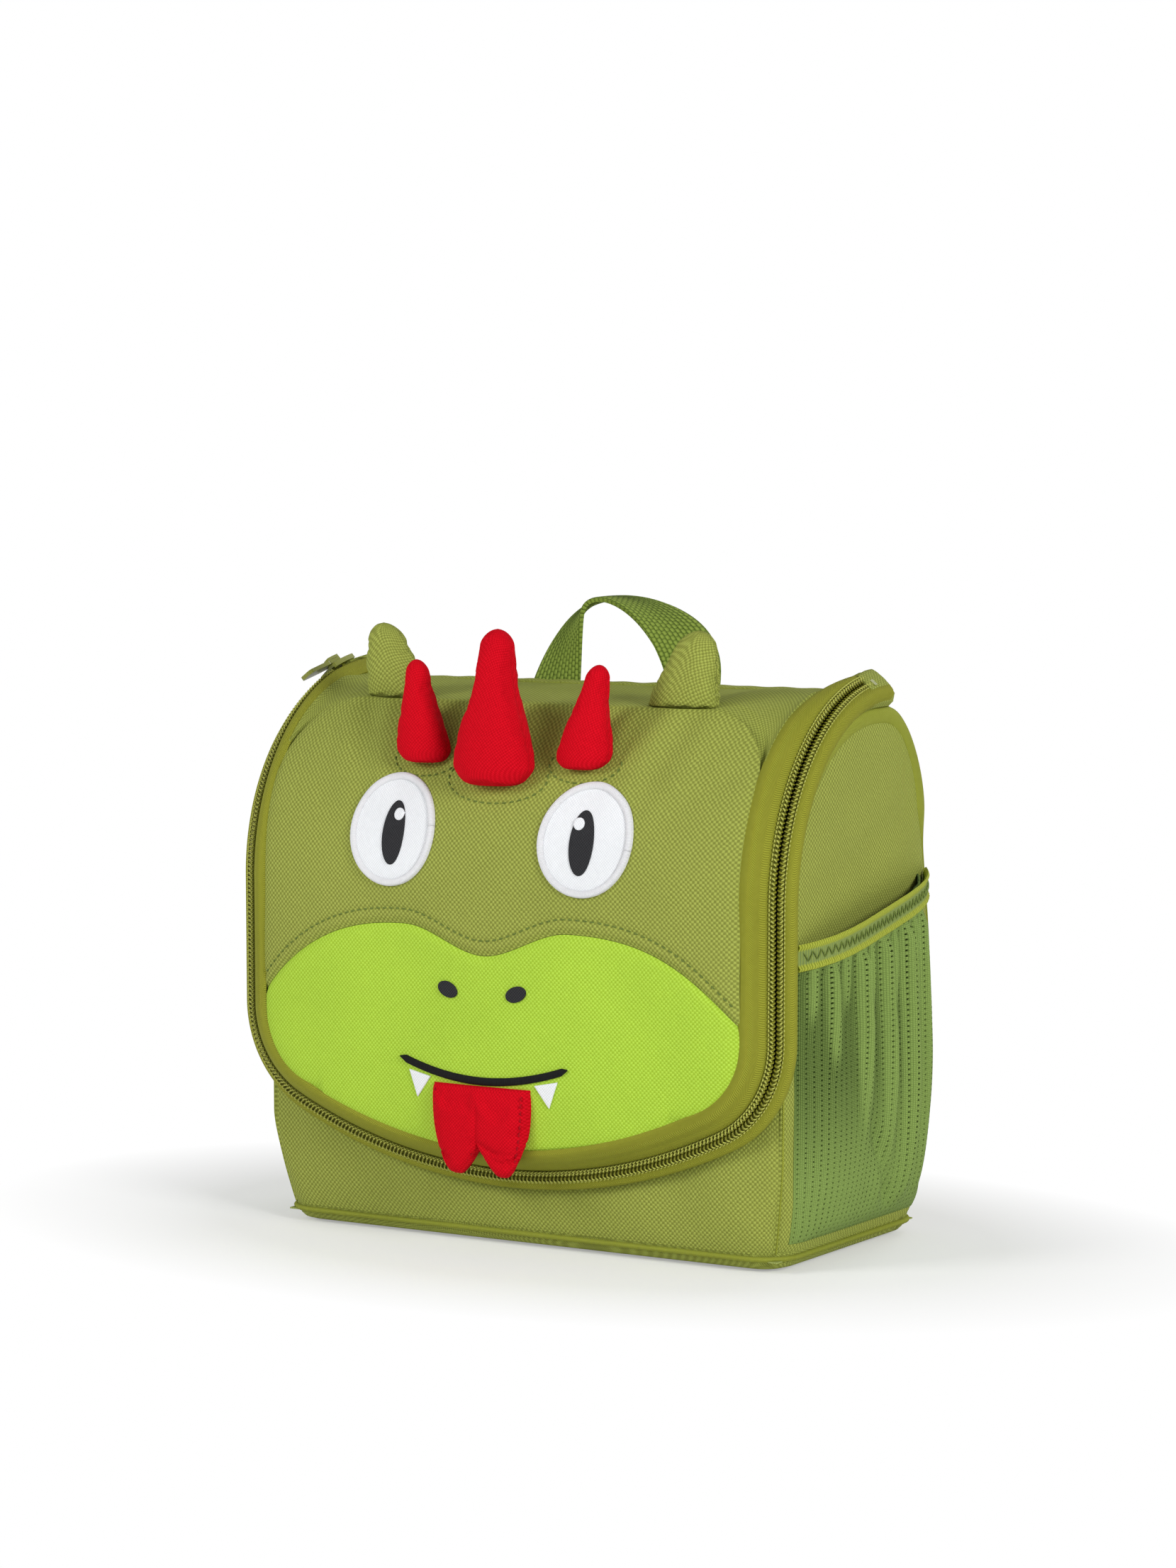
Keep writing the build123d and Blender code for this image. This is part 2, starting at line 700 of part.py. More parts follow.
def tongue():
    """A padded tab, hinged at the mouth line, with a forked tip."""
    half, top = tongue_width / 2, tongue_top
    tip, notch = top - tongue_length, top - tongue_length + tongue_notch
    points = [(half, top), (half * 0.98, top - 12), (half * 0.62, tip), (0, notch)]
    right = Spline(points[0], points[1], points[2])
    outline = closed_sketch(
        Line((-half, top), (half, top)), right,
        Spline(points[2], (half * 0.3, tip + 2.4), points[3]),
        Spline(points[3], (-half * 0.3, tip + 2.4), (-points[2][0], points[2][1])),
        Spline((-points[2][0], tip), (-points[1][0], points[1][1]), (-half, top)),
    )
    parts["tongue_tab"] = on_face(outline, tongue_clear, tongue_clear + tongue_thickness)


def soft_spike(base, deep, foot, tip):
    """A stuffed point: from an oval foot, swelling a little and drawing in to a blunt tip."""
    rings = []
    for t, share in ((0, 1.0), (0.3, 0.84), (0.6, 0.58), (0.85, 0.31), (1.0, spike_tip_share)):
        centre = [foot[k] + (tip[k] - foot[k]) * t for k in range(3)]
        rings.append(oval_ring(centre, base * share, deep * share ** 0.85))
    return seated(stuffed(rings))


def crest():
    """Three stuffed spikes in a row along the brow; the middle one stands above the top seam."""
    y = face_y(0, spike_foot) - spike_depth * 0.30
    parts["crest_spike_middle"] = soft_spike(
        spike_base, spike_depth, (0, y, spike_foot), (0, y + 4, spike_tip)
    )
    share, x = side_spike_share, side_spike_spacing / 2
    foot, tip = spike_foot + 6, spike_foot + 6 + (spike_tip - spike_foot) * share
    y = face_y(x, foot) - spike_depth * share * 0.30
    small = soft_spike(spike_base * share, spike_depth * share, (x, y, foot), (x + 5, y + 3, tip))
    parts["crest_spike_right"] = small
    parts["crest_spike_left"] = mirrored(small)


def ears():
    """Two stuffed ears on the flap's top, just behind the face seam."""
    x = ear_spacing / 2
    y = face_y(x, face_top) + ear_setback
    foot = top_height(y) - seam_gap
    thick = cloth(top_skin(), 4 * fabric, (0, 0, -1)).moved(Location((0, 0, seam_gap)))
    for name, side in (("ear_right", 1), ("ear_left", -1)):
        rings = []
        for t, share in ((0, 1.0), (0.25, 1.0), (0.5, 0.86), (0.75, 0.62), (0.92, 0.36), (1.0, 0.16)):
            centre = (side * (x + 5 * t), y - 1 * t, foot + ear_tall * t)
            rings.append(oval_ring(centre, ear_base * share, ear_thickness * share**0.7))
        parts[name] = main_solid(stuffed(rings) - thick)


def top_height(y):
    """The height of the flap's top in its flat middle part."""
    t = (hinge_y - y) / (hinge_y - face_y(0, face_top))
    return hinge_z + (face_top - hinge_z) * t


# ---- Side pockets ------------------------------------------------------------------------------------------


def pocket_reach(y, z, extra=0.0):
    """How far the gathered mesh stands off the side."""
    half = pocket_half_depth
    across = max(0.0, 1 - abs(y / half) ** 4)
    low = 1 - exp(-max(0.0, z - pocket_floor) / 7)
    high = 1 - 0.12 * max(0.0, min(1.0, (z / pocket_back_height - 0.63) * 3.2))
    return half_width + binding_clear + extra + pocket_bulge * across * low * high


def pocket_grid(extra, low_share, columns, rows):
    """Points over the pocket, up to its sloping top edge; low_share None starts at the band's lower edge."""
    half = pocket_half_depth
    slope = (pocket_back_height - pocket_front_height) / (2 * half)
    grid = []
    for t in rows:
        row = []
        for y in columns:
            top = pocket_front_height + slope * (y + half)
            low = top - band_height if low_share is None else pocket_floor
            z = low + (top - low) * t
            row.append((pocket_reach(y, z, extra), y, z))
        grid.append(row)
    return grid


def pockets():
    """The mesh pockets, open at the sloping top edge, and the elastic bands over those edges."""
    half = pocket_half_depth
    columns = [half * k for k in (-1, -0.93, -0.82, -0.66, -0.4, 0, 0.4, 0.66, 0.82, 0.93, 1)]
    mesh = cloth(pocket_grid(0, 0, columns, (0, 0.04, 0.1, 0.2, 0.6, 0.85, 1)), mesh_thickness, (1, 0, 0))
    clear = mesh_thickness + 2 * layer_gap
    band = cloth(pocket_grid(clear, None, columns, (0, 1)), band_thickness, (1, 0, 0))
    for name, piece in (("mesh_pocket", mesh), ("pocket_band", band)):
        parts[name + "_right"] = piece
        parts[name + "_left"] = mirrored(piece)


# ---- Carry loop --------------------------------------------------------------------------------------------


def carry_loop():
    """A webbing loop: flat against the hinge seam at both feet, turned flat side up at the top."""
    rows = []
    for t in steps(0, pi, 21):
        reach = loop_half_span
        lift = sin(t)
        x = -reach * cos(t) - loop_skew * lift**2
        centre = Vector(x, loop_foot_y + loop_setback * lift, loop_foot_z + loop_height * lift)
        slope = reach * lift - 2 * loop_skew * lift * cos(t)
        along = Vector(slope, loop_setback * cos(t), loop_height * cos(t)).normalized()
        flat = Vector(-cos(t), sin(t), 0)
        flat = (flat - along * flat.dot(along)).normalized()
        rows.append([tuple(centre + flat * (strap_width * k)) for k in (-0.5, 0, 0.5)])
    parts["carry_loop"] = cloth(rows, strap_thickness, (0, 0, -1))


# ---- Slider ------------------------------------------------------------------------------------------------


def shoulder_ring(points, start, end):
    """A closed section in (out, forward) offsets, turned about the left shoulder's centre."""
    angle = radians(start)
    radial = Vector(0, cos(angle), sin(angle))
    origin = Vector(-zip_x, front_arc_y, front_arc_z) + radial * shoulder_radius
    corners = [origin + Vector(-1, 0, 0) * u + radial * v for u, v in points]
    section = Face(Wire.make_polygon(corners, close=True))
    axis = Axis((0, front_arc_y, front_arc_z), (1, 0, 0))
    return revolve(section, axis=axis, revolution_arc=end - start)


def slider():
    """The slider: two plates round the chain, joined by a thin blade, with lips and a bail on top."""
    half, under_half = slider_width / 2, coil_gap / 2 + coil_width + 0.6
    clear = coil_height / 2 + moving_gap
    low, high = slider_angle, slider_angle + slider_length * arc_per_mm
    nose = low + 3.0 * arc_per_mm
    post = clear + plate_thickness
    body = shoulder_ring(chain_box(-half, half, clear, post), low, high)
    body += shoulder_ring(chain_box(-under_half, under_half, -post, -clear), low, high)
    blade = chain_box(-blade_thickness / 2, blade_thickness / 2, -clear - 0.2, clear + 0.2)
    body += shoulder_ring(blade, low, nose)
    lip_in = coil_gap / 2 + coil_width + moving_gap
    lip = tape_thickness / 2 + moving_gap
    for side in (-1, 1):
        a, b = sorted((side * lip_in, side * half))
        body += shoulder_ring(chain_box(a, b, lip, clear + 0.2), low, high)
    window, thick = bail_window * arc_per_mm / 2, bail_wall * arc_per_mm
    middle = (low + high) / 2
    for start in (middle - window - thick, middle + window):
        body += shoulder_ring(
            chain_box(-bail_half, bail_half, post - 0.2, post + bail_height), start, start + thick
        )
    bridge = chain_box(-bail_half, bail_half, post + bail_height - bail_wall, post + bail_height)
    body += shoulder_ring(bridge, middle - window - thick, middle + window + thick)
    parts["zip_slider"] = body


def pull():
    """The pull: a tab whose crossbar runs through the slider's bail, lying along the zip."""
    turn = radians(slider_angle + slider_length * arc_per_mm / 2)
    radial, ahead = Vector(0, cos(turn), sin(turn)), Vector(0, -sin(turn), cos(turn))
    tilt = radians(chain_tilt)
    outward = Vector(-1, 0, 0) * sin(tilt) + radial * cos(tilt)
    height = coil_height / 2 + moving_gap + plate_thickness + (bail_height - bail_wall) / 2
    origin = Vector(-zip_x, front_arc_y, front_arc_z) + radial * shoulder_radius + outward * height
    frame = Plane(origin=origin, x_dir=ahead, z_dir=outward).rotated((0, pull_tilt, 0))
    inner = bail_half + moving_gap
    outer = inner + pull_arm
    bar_radius = pull_thickness / 2 - 0.1
    bar = Rot(90, 0, 0) * Cylinder(bar_radius, 2 * outer - 0.4)
    arm_length = bail_window / 2 + bail_wall + 2.2
    tab = bar
    arm_back = bar_radius + 0.1
    for side in (-1, 1):
        tab += Pos((arm_length - arm_back) / 2, side * (inner + outer) / 2, 0) * Box(
            arm_length + arm_back, pull_arm, pull_thickness
        )
    plate = extrude(Pos(0, 0) * RectangleRounded(pull_length - arm_length, pull_width, 1.5), pull_thickness)
    tab += Pos((arm_length + pull_length) / 2 - 0.5, 0, -pull_thickness / 2) * plate
    parts["zip_pull"] = frame * tab


def stops():
    """The stops at the two ends of the body's coil."""
    side = coil_gap / 2 + coil_width
    box = chain_box(0.3, side, -coil_height / 2 - 0.3, coil_height / 2 + 0.3)
    stop = shoulder_ring(box, zip_end_angle - 1.6, zip_end_angle - 0.1)
    parts["zip_stop_left"] = stop
    parts["zip_stop_right"] = mirrored(stop)



# ---- Build -------------------------------------------------------------------------------------------------

builders = [
    side_panels, back_panels, front_panels, base_panels, zip_coils, body_tape, flap_tape, face_panels,
    top_panels, eyes, muzzle_pieces, tongue, crest, ears, pockets, carry_loop, slider, pull, stops,
]
for build in builders:
    build()
os.makedirs("parts", exist_ok=True)
for name, shape in parts.items():
    export_step(shape, f"parts/{name}.step")
print(len(parts), "pieces")
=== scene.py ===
# %% [markdown]
# # A child's dragon-face wash bag
# The bag is a soft box of coarse woven polyester. A domed flap with a padded face closes it with a coil zip,
# the sides carry gathered mesh pockets, and a loop of webbing hangs it on a hook.
# The CAD frame fixes every size and every joint. This lesson dresses that frame: each soft solid gives way to
# a mesh with puff, folds, seams and thread, and rides on the body that its solid belongs to.

# %% Load the fixed frame
import json
import math

import bmesh
import bpy
import numpy as np
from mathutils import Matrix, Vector

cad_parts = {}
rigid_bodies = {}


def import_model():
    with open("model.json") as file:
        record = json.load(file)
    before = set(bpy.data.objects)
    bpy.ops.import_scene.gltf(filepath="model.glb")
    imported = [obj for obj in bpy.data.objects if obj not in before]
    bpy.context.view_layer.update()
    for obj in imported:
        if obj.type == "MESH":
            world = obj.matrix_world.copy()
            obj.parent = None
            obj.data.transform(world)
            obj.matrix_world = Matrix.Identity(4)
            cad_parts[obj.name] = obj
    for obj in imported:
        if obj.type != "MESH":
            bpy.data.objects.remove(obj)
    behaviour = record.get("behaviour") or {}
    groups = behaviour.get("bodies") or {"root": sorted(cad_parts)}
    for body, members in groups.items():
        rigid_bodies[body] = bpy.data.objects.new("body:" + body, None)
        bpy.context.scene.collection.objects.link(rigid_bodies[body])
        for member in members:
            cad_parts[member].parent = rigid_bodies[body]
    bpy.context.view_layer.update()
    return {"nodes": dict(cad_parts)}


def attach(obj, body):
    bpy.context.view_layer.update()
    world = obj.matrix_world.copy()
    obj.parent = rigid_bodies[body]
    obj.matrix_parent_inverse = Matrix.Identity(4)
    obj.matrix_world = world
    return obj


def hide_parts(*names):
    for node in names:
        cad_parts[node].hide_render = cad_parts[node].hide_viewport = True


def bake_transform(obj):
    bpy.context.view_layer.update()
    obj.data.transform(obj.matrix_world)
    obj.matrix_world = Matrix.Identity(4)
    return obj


for leftover in list(bpy.data.objects):
    bpy.data.objects.remove(leftover)
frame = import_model()
MM = 0.001

# %% [markdown]
# ## The camera first
# A camera a little above the table sees the flap and one side pocket. A long lens keeps the uprights nearly
# parallel. The lens and the small upward shift set the framing, and nothing else depends on them.

# %% Place the camera
camera_data = bpy.data.cameras.new("camera")
camera = bpy.data.objects.new("camera", camera_data)
bpy.context.scene.collection.objects.link(camera)
bpy.context.scene.camera = camera
turn, lift = math.radians(31.5), math.radians(6.7)
away = Vector((math.sin(turn) * math.cos(lift), -math.cos(turn) * math.cos(lift), math.sin(lift)))
look_point, camera_reach = Vector((-0.0015, -0.005, 0.100)), 1.475
camera.location = look_point + away * camera_reach
camera.rotation_mode = "QUATERNION"
camera.rotation_quaternion = (-away).to_track_quat("-Z", "Y")
camera_data.lens, camera_data.sensor_width, camera_data.shift_y = 97.7, 36.0, 0.1000
camera_data.clip_start, camera_data.clip_end = 0.05, 50
print("camera at", [round(v, 3) for v in camera.location])

# %% [markdown]
# ## Small tools for soft goods
# Sewn cloth is easiest to describe as a grid of points over a known surface. Three builders turn such points
# into meshes: a sheet with real thickness, a closed skin through rings, and rows of sewing thread.
# Each vertex also keeps its place in the flat cloth, in millimetres, in an attribute called "cloth".
# The weaves read that attribute, so the yarns follow the cloth and keep one scale on every piece.

# %% Smooth steps and uneven fields
def ease(x, low, high):
    """0 below low, 1 above high, with a soft turn between."""
    t = np.clip((x - low) / (high - low), 0, 1)
    return t * t * (3 - 2 * t)


def uneven(a, b, size, seed):
    """A smooth uneven field over two lengths, about -1 to 1, the same on every run."""
    chance = np.random.default_rng(seed)
    total = 0.0
    for _ in range(7):
        way, phase, stretch = chance.uniform(0, np.pi), chance.uniform(0, 6.28), chance.uniform(0.6, 1.6)
        total = total + np.sin((a * np.cos(way) + b * np.sin(way)) * 6.283 / (size * stretch) + phase)
    return total / 4.2


print("an uneven value:", round(float(uneven(3.0, 5.0, 20, 1)), 3))


# %% Directions and lengths along a path
def unit(v):
    """Directions made one long."""
    return v / np.maximum(np.linalg.norm(v, axis=-1, keepdims=True), 1e-9)


def run_of(path):
    """The length run so far at each point of a path."""
    return np.concatenate([[0], np.cumsum(np.linalg.norm(np.diff(path, axis=0), axis=1))])


def read_at(at, run, values):
    """Rows of numbers, read off at new places along their run."""
    return np.stack([np.interp(at, run, values[:, k]) for k in range(values.shape[1])], 1)


print("a step of 3 by 4 runs", run_of(np.array([[0, 0], [3, 4]]))[-1])


# %% Meshes that remember their flat cloth
def new_piece(name, points, faces, cloth, sharp=55):
    """A mesh object from points in mm, with faces turned outward and its flat places stored."""
    mesh = bpy.data.meshes.new(name)
    mesh.from_pydata((np.asarray(points) * MM).tolist(), [], faces)
    flat = mesh.attributes.new("cloth", "FLOAT_VECTOR", "POINT")
    places = np.zeros((len(points), 3), np.float32)
    places[:, : cloth.shape[1]] = cloth
    flat.data.foreach_set("vector", places.ravel())
    work = bmesh.new()
    work.from_mesh(mesh)
    bmesh.ops.recalc_face_normals(work, faces=work.faces)
    work.to_mesh(mesh)
    work.free()
    mesh.shade_smooth()
    mesh.set_sharp_from_angle(angle=math.radians(sharp))
    made = bpy.data.objects.new(name, mesh)
    bpy.context.scene.collection.objects.link(made)
    return made


def flat_places(grid):
    """Each grid point's place in the flat cloth: its run across the columns and down the rows."""
    across = np.linalg.norm(np.diff(grid, axis=1), axis=2)
    down = np.linalg.norm(np.diff(grid, axis=0), axis=2)
    u = np.concatenate([np.zeros((len(grid), 1)), np.cumsum(across, 1)], 1)
    u = u - u[:, [u.shape[1] // 2]]
    v = np.concatenate([np.zeros((1, grid.shape[1])), np.cumsum(down, 0)], 0)
    return np.stack([u, v], 2)


def normals_of(grid, towards):
    """The grid's normals, on the side that a direction names."""
    n = unit(np.cross(np.gradient(grid, axis=0), np.gradient(grid, axis=1)))
    return n if (n @ np.array(towards, float)).mean() > 0 else -n


def strip_faces(rows, columns, wrap=False):
    """Quads between the rows of a grid, joined round if wrap is true."""
    i, j = np.meshgrid(np.arange(rows - 1), np.arange(columns - (0 if wrap else 1)), indexing="ij")
    k = (j + 1) % columns
    quads = np.stack([i * columns + j, i * columns + k, (i + 1) * columns + k, (i + 1) * columns + j], 2)
    return quads.reshape(-1, 4).tolist()


print("a strip of 3 by 3 points has", len(strip_faces(3, 3)), "faces")


# %% A sheet with thickness
def sheet_piece(name, grid, thickness, towards, cloth=None):
    """A cloth sheet: the grid is its outer side, and its inner side lies behind by the thickness."""
    grid = np.asarray(grid, float)
    rows, columns = grid.shape[:2]
    inner = grid - normals_of(grid, towards) * thickness
    places = flat_places(grid) if cloth is None else cloth
    count = rows * columns
    faces = strip_faces(rows, columns)
    faces += [[a + count for a in reversed(face)] for face in strip_faces(rows, columns)]
    rim = list(range(columns)) + [i * columns + columns - 1 for i in range(1, rows)]
    rim += [(rows - 1) * columns + j for j in range(columns - 2, -1, -1)]
    rim += [i * columns for i in range(rows - 2, 0, -1)]
    faces += [[b, a, a + count, b + count] for a, b in zip(rim, rim[1:] + rim[:1])]
    points = np.concatenate([grid.reshape(-1, 3), inner.reshape(-1, 3)])
    return new_piece(name, points, faces, np.concatenate([places.reshape(-1, 2)] * 2))


print("sheets can be made")


# %% A closed skin through rings
def ringed_piece(name, rings, looped=False, cloth=None, sharp=55):
    """A closed skin through rings of points; looped joins the last ring to the first."""
    rings = np.asarray(rings, float)
    rows, columns = rings.shape[:2]
    places = flat_places(rings) if cloth is None else cloth
    faces = strip_faces(rows, columns, wrap=True)
    if looped:
        last = (rows - 1) * columns
        faces += [[last + j, last + (j + 1) % columns, (j + 1) % columns, j] for j in range(columns)]
    else:
        faces += [list(range(columns)), [(rows - 1) * columns + j for j in range(columns)]]
    return new_piece(name, rings.reshape(-1, 3), faces, places.reshape(-1, 2), sharp)


def oval(wide, tall, sides=16):
    """The points of an oval section round its middle."""
    a = np.arange(sides) * 2 * np.pi / sides
    return np.stack([wide / 2 * np.cos(a), tall / 2 * np.sin(a)], 1)


def carried(centres, first, second, section):
    """A section carried along a route, by two directions at each centre."""
    section = np.broadcast_to(section, (len(centres),) + np.shape(section)[-2:])
    return centres[:, None] + first[:, None] * section[..., :1] + second[:, None] * section[..., 1:]


print("an oval section has", len(oval(2, 1)), "points")


# %% Rows of sewing thread
def thread_piece(name, starts, ends, ups, radius=0.22, arch=0.35):
    """Stitches as short arched threads, from start to end points, standing on the side that ups name."""
    starts, ends, ups = (np.asarray(v, float) for v in (starts, ends, ups))
    ups = unit(ups)
    side = np.cross(unit(ends - starts), ups)
    run_thickness_rise = [
        (0.0, 0.35, -1.2), (0.12, 0.9, -0.1), (0.35, 1.0, 1.0),
        (0.65, 1.0, 1.0), (0.88, 0.9, -0.1), (1.0, 0.35, -1.2),
    ]
    a = np.arange(6) * np.pi / 3
    rings = []
    for t, share, rise in run_thickness_rise:
        middle = starts + (ends - starts) * t + ups * (arch * rise)
        ring = middle[:, None] + radius * share * (
            side[:, None] * np.cos(a)[None, :, None] + ups[:, None] * np.sin(a)[None, :, None]
        )
        rings.append(ring)
    points = np.stack(rings, 1)
    one = strip_faces(6, 6, wrap=True) + [list(range(6)), list(range(30, 36))]
    faces = [[v + 36 * k for v in face] for k in range(len(starts)) for face in one]
    run = np.tile(np.repeat(np.arange(6) * 0.5, 6), len(starts))
    turn_round = np.tile(np.tile(np.arange(6) * 0.25, 6), len(starts))
    return new_piece(name, points.reshape(-1, 3), faces, np.stack([turn_round, run], 1))


def spaced(path, pitch):
    """Points at an even pitch along a path."""
    path = np.asarray(path, float)
    run = run_of(path)
    count = max(2, int(run[-1] / pitch))
    return read_at(np.linspace(0, run[-1], count + 1), run, path)


def running_stitch(name, path, ups, pitch=3.0, share=0.72, radius=0.22):
    """A lockstitched row along a path: a thread over most of each pitch."""
    points = spaced(path, pitch)
    ups = np.asarray(ups, float)
    stitches = len(points) - 1
    if ups.ndim == 1:
        raised = np.broadcast_to(ups, (stitches, 3))
    else:
        raised = read_at(np.linspace(0, 1, stitches), np.linspace(0, 1, len(ups)), ups)
    return thread_piece(name, points[:-1], points[:-1] + (points[1:] - points[:-1]) * share, raised, radius)


print("thread builders ready")

# %% [markdown]
# ## Effects that several cloths share
# Each effect is a node group with named inputs, so one weave serves every colour of cloth. A group gives
# only colours, heights and a roughness that change over the surface. The Principled shader stays in the
# material that places the group.

# %% A short way to wire nodes
def group_tree(name, inputs, outputs):
    """An empty shader group with the named sockets."""
    tree = bpy.data.node_groups.new(name, "ShaderNodeTree")
    for label, kind, value in inputs:
        socket = tree.interface.new_socket(name=label, in_out="INPUT", socket_type="NodeSocket" + kind)
        if value is not None:
            socket.default_value = value
    for label, kind in outputs:
        tree.interface.new_socket(name=label, in_out="OUTPUT", socket_type="NodeSocket" + kind)
    return tree, tree.nodes.new("NodeGroupInput"), tree.nodes.new("NodeGroupOutput")


def feed(tree, socket, value):
    """Link a socket, or set it when the value is a plain number or colour."""
    if isinstance(value, bpy.types.NodeSocket):
        tree.links.new(value, socket)
    elif value is not None:
        socket.default_value = value


print("groups can be made and wired")


# %% Small nodes in one call each
def maths(tree, work, a, b=None):
    """A Math node on one or two values."""
    node = tree.nodes.new("ShaderNodeMath")
    node.operation = work
    for socket, value in zip(node.inputs, (a, b)):
        feed(tree, socket, value)
    return node.outputs[0]


def blended(tree, share, a, b, how="MIX"):
    """A colour mixed from two by a share."""
    node = tree.nodes.new("ShaderNodeMix")
    node.data_type, node.blend_type = "RGBA", how
    feed(tree, node.inputs[0], share)
    feed(tree, node.inputs[6], a)
    feed(tree, node.inputs[7], b)
    return node.outputs[2]


def ramped(tree, value, low, high):
    """A value stretched to 0..1 between two limits."""
    node = tree.nodes.new("ShaderNodeMapRange")
    for socket, number in zip(node.inputs[:3], (value, low, high)):
        feed(tree, socket, number)
    return node.outputs[0]


def cloudy(tree, vector, scale, detail=2.0):
    """Soft noise over a vector."""
    node = tree.nodes.new("ShaderNodeTexNoise")
    feed(tree, node.inputs["Vector"], vector)
    node.inputs["Scale"].default_value = scale
    node.inputs["Detail"].default_value = detail
    return node.outputs["Fac"]


def apart(tree, vector):
    """The three parts of a vector."""
    node = tree.nodes.new("ShaderNodeSeparateXYZ")
    feed(tree, node.inputs[0], vector)
    return node.outputs


def sine_of(tree, turns):
    """A sine wave that crosses zero at every whole number of turns."""
    return maths(tree, "SINE", maths(tree, "MULTIPLY", turns, math.pi))


GREY = (0.5, 0.5, 0.5, 1)
TWO_COLOURS = [("Dark", "Color", GREY), ("Light", "Color", GREY)]
PATTERN_GIVES = [("Colour", "Color"), ("Height", "Float")]
print("node helpers ready")

# %% [markdown]
# ### Plain weave
# Coarse polyester shows two sets of thick yarns that cross over and under. The sign of one sine per yarn set,
# multiplied together, tells which yarn is on top. The top yarn catches light as a small pale dot.

# %% Plain weave group
def build_weave():
    tree, given, made = group_tree(
        "plain weave",
        [("Cloth", "Vector", None), ("Pitch", "Float", 0.9)] + TWO_COLOURS,
        PATTERN_GIVES,
    )
    u, v, _ = apart(tree, given.outputs["Cloth"])
    drift = maths(tree, "SUBTRACT", cloudy(tree, given.outputs["Cloth"], 0.35), 0.5)
    wobble = maths(tree, "MULTIPLY", drift, 0.8)
    waves = []
    for part in (u, v):
        turns = maths(tree, "DIVIDE", maths(tree, "ADD", part, wobble), given.outputs["Pitch"])
        waves.append(sine_of(tree, turns))
    crossing = maths(tree, "MULTIPLY", *waves)
    top = ramped(tree, crossing, -0.45, 0.55)
    dome = maths(tree, "POWER", maths(tree, "ABSOLUTE", crossing), 0.6)
    height = maths(tree, "ADD", maths(tree, "MULTIPLY", top, 0.5), maths(tree, "MULTIPLY", dome, 0.5))
    colour = blended(tree, top, given.outputs["Dark"], given.outputs["Light"])
    feed(tree, made.inputs["Colour"], colour)
    feed(tree, made.inputs["Height"], height)
    return tree


weave = build_weave()
print("built", weave.name)

# %% [markdown]
# ### Herringbone
# Zip tape and its binding are woven in rows of short slanting ribs that turn back at each row's edge.
# A triangle wave across the tape bends one set of stripes into that zigzag.

# %% Herringbone group
def build_herringbone():
    tree, given, made = group_tree(
        "herringbone",
        [("Cloth", "Vector", None), ("Rib", "Float", 0.9), ("Row", "Float", 2.4)] + TWO_COLOURS,
        PATTERN_GIVES,
    )
    across, run, _ = apart(tree, given.outputs["Cloth"])
    zig = maths(tree, "PINGPONG", across, given.outputs["Row"])
    stripe = maths(tree, "DIVIDE", maths(tree, "ADD", run, zig), given.outputs["Rib"])
    wave = maths(tree, "SINE", maths(tree, "MULTIPLY", stripe, 2 * math.pi))
    # The ribs' tops are painted lighter and the grooves between them darker: painted highlight and shade.
    height = ramped(tree, wave, -1.0, 0.8)
    feed(tree, made.inputs["Colour"], blended(tree, height, given.outputs["Dark"], given.outputs["Light"]))
    feed(tree, made.inputs["Height"], height)
    return tree


herringbone = build_herringbone()
print("built", herringbone.name)

# %% [markdown]
# ### Laid yarns
# Webbing ribs, satin stitches and twisted thread all read as parallel yarns with a short break in each.
# One group draws them: a rounded ridge across the yarn and a shorter dip along it.

# %% Laid yarn group
def build_yarns():
    tree, given, made = group_tree(
        "laid yarns",
        [("Cloth", "Vector", None), ("Width", "Float", 0.5), ("Length", "Float", 2.0)]
        + [("Break", "Float", 0.4)] + TWO_COLOURS,
        PATTERN_GIVES,
    )
    across, run, _ = apart(tree, given.outputs["Cloth"])
    lane = maths(tree, "DIVIDE", across, given.outputs["Width"])
    ridge = maths(tree, "ABSOLUTE", sine_of(tree, lane))
    offset = maths(tree, "MULTIPLY", maths(tree, "FLOOR", lane), 0.5)
    along = maths(tree, "ADD", maths(tree, "DIVIDE", run, given.outputs["Length"]), offset)
    gap = maths(tree, "ABSOLUTE", sine_of(tree, along))
    notch = maths(tree, "SUBTRACT", 1.0, maths(tree, "POWER", gap, 0.5))
    dip = maths(tree, "MULTIPLY", notch, given.outputs["Break"])
    height = maths(tree, "SUBTRACT", maths(tree, "POWER", ridge, 0.6), dip)
    lit = ramped(tree, height, 0.0, 1.0)
    feed(tree, made.inputs["Colour"], blended(tree, lit, given.outputs["Dark"], given.outputs["Light"]))
    feed(tree, made.inputs["Height"], height)
    return tree


yarns = build_yarns()
print("built", yarns.name)

# %% [markdown]
# ### Knit with wells
# The pocket's knit has short loops in rows, and each hole is a small well whose wall lies in the shade of the
# yarns round it. The third number of "cloth" carries painted shade: it is high on the wells' walls, on the
# inner side and in the folds' valleys, and there the colour is painted darker. The loops' tops are painted
# lighter.

# %% Knit group
def build_knit():
    tree, given, made = group_tree(
        "pocket knit",
        [("Cloth", "Vector", None), ("Loop", "Float", 0.9)] + TWO_COLOURS,
        PATTERN_GIVES,
    )
    u, v, deep = apart(tree, given.outputs["Cloth"])
    waves = []
    for part, share in ((u, 1.0), (v, 0.7)):
        turns = maths(tree, "DIVIDE", part, maths(tree, "MULTIPLY", given.outputs["Loop"], share))
        waves.append(maths(tree, "ABSOLUTE", sine_of(tree, turns)))
    loops = maths(tree, "POWER", maths(tree, "MULTIPLY", *waves), 0.5)
    # deep is painted shade: subtracting it paints the wells, the inner side and the folds' valleys darker,
    # and the loops' tops are painted lighter
    height = maths(tree, "SUBTRACT", loops, deep)
    colour = blended(tree, ramped(tree, height, -0.8, 0.9), given.outputs["Dark"], given.outputs["Light"])
    feed(tree, made.inputs["Colour"], colour)
    feed(tree, made.inputs["Height"], loops)
    return tree


knit_loops = build_knit()
print("built", knit_loops.name)

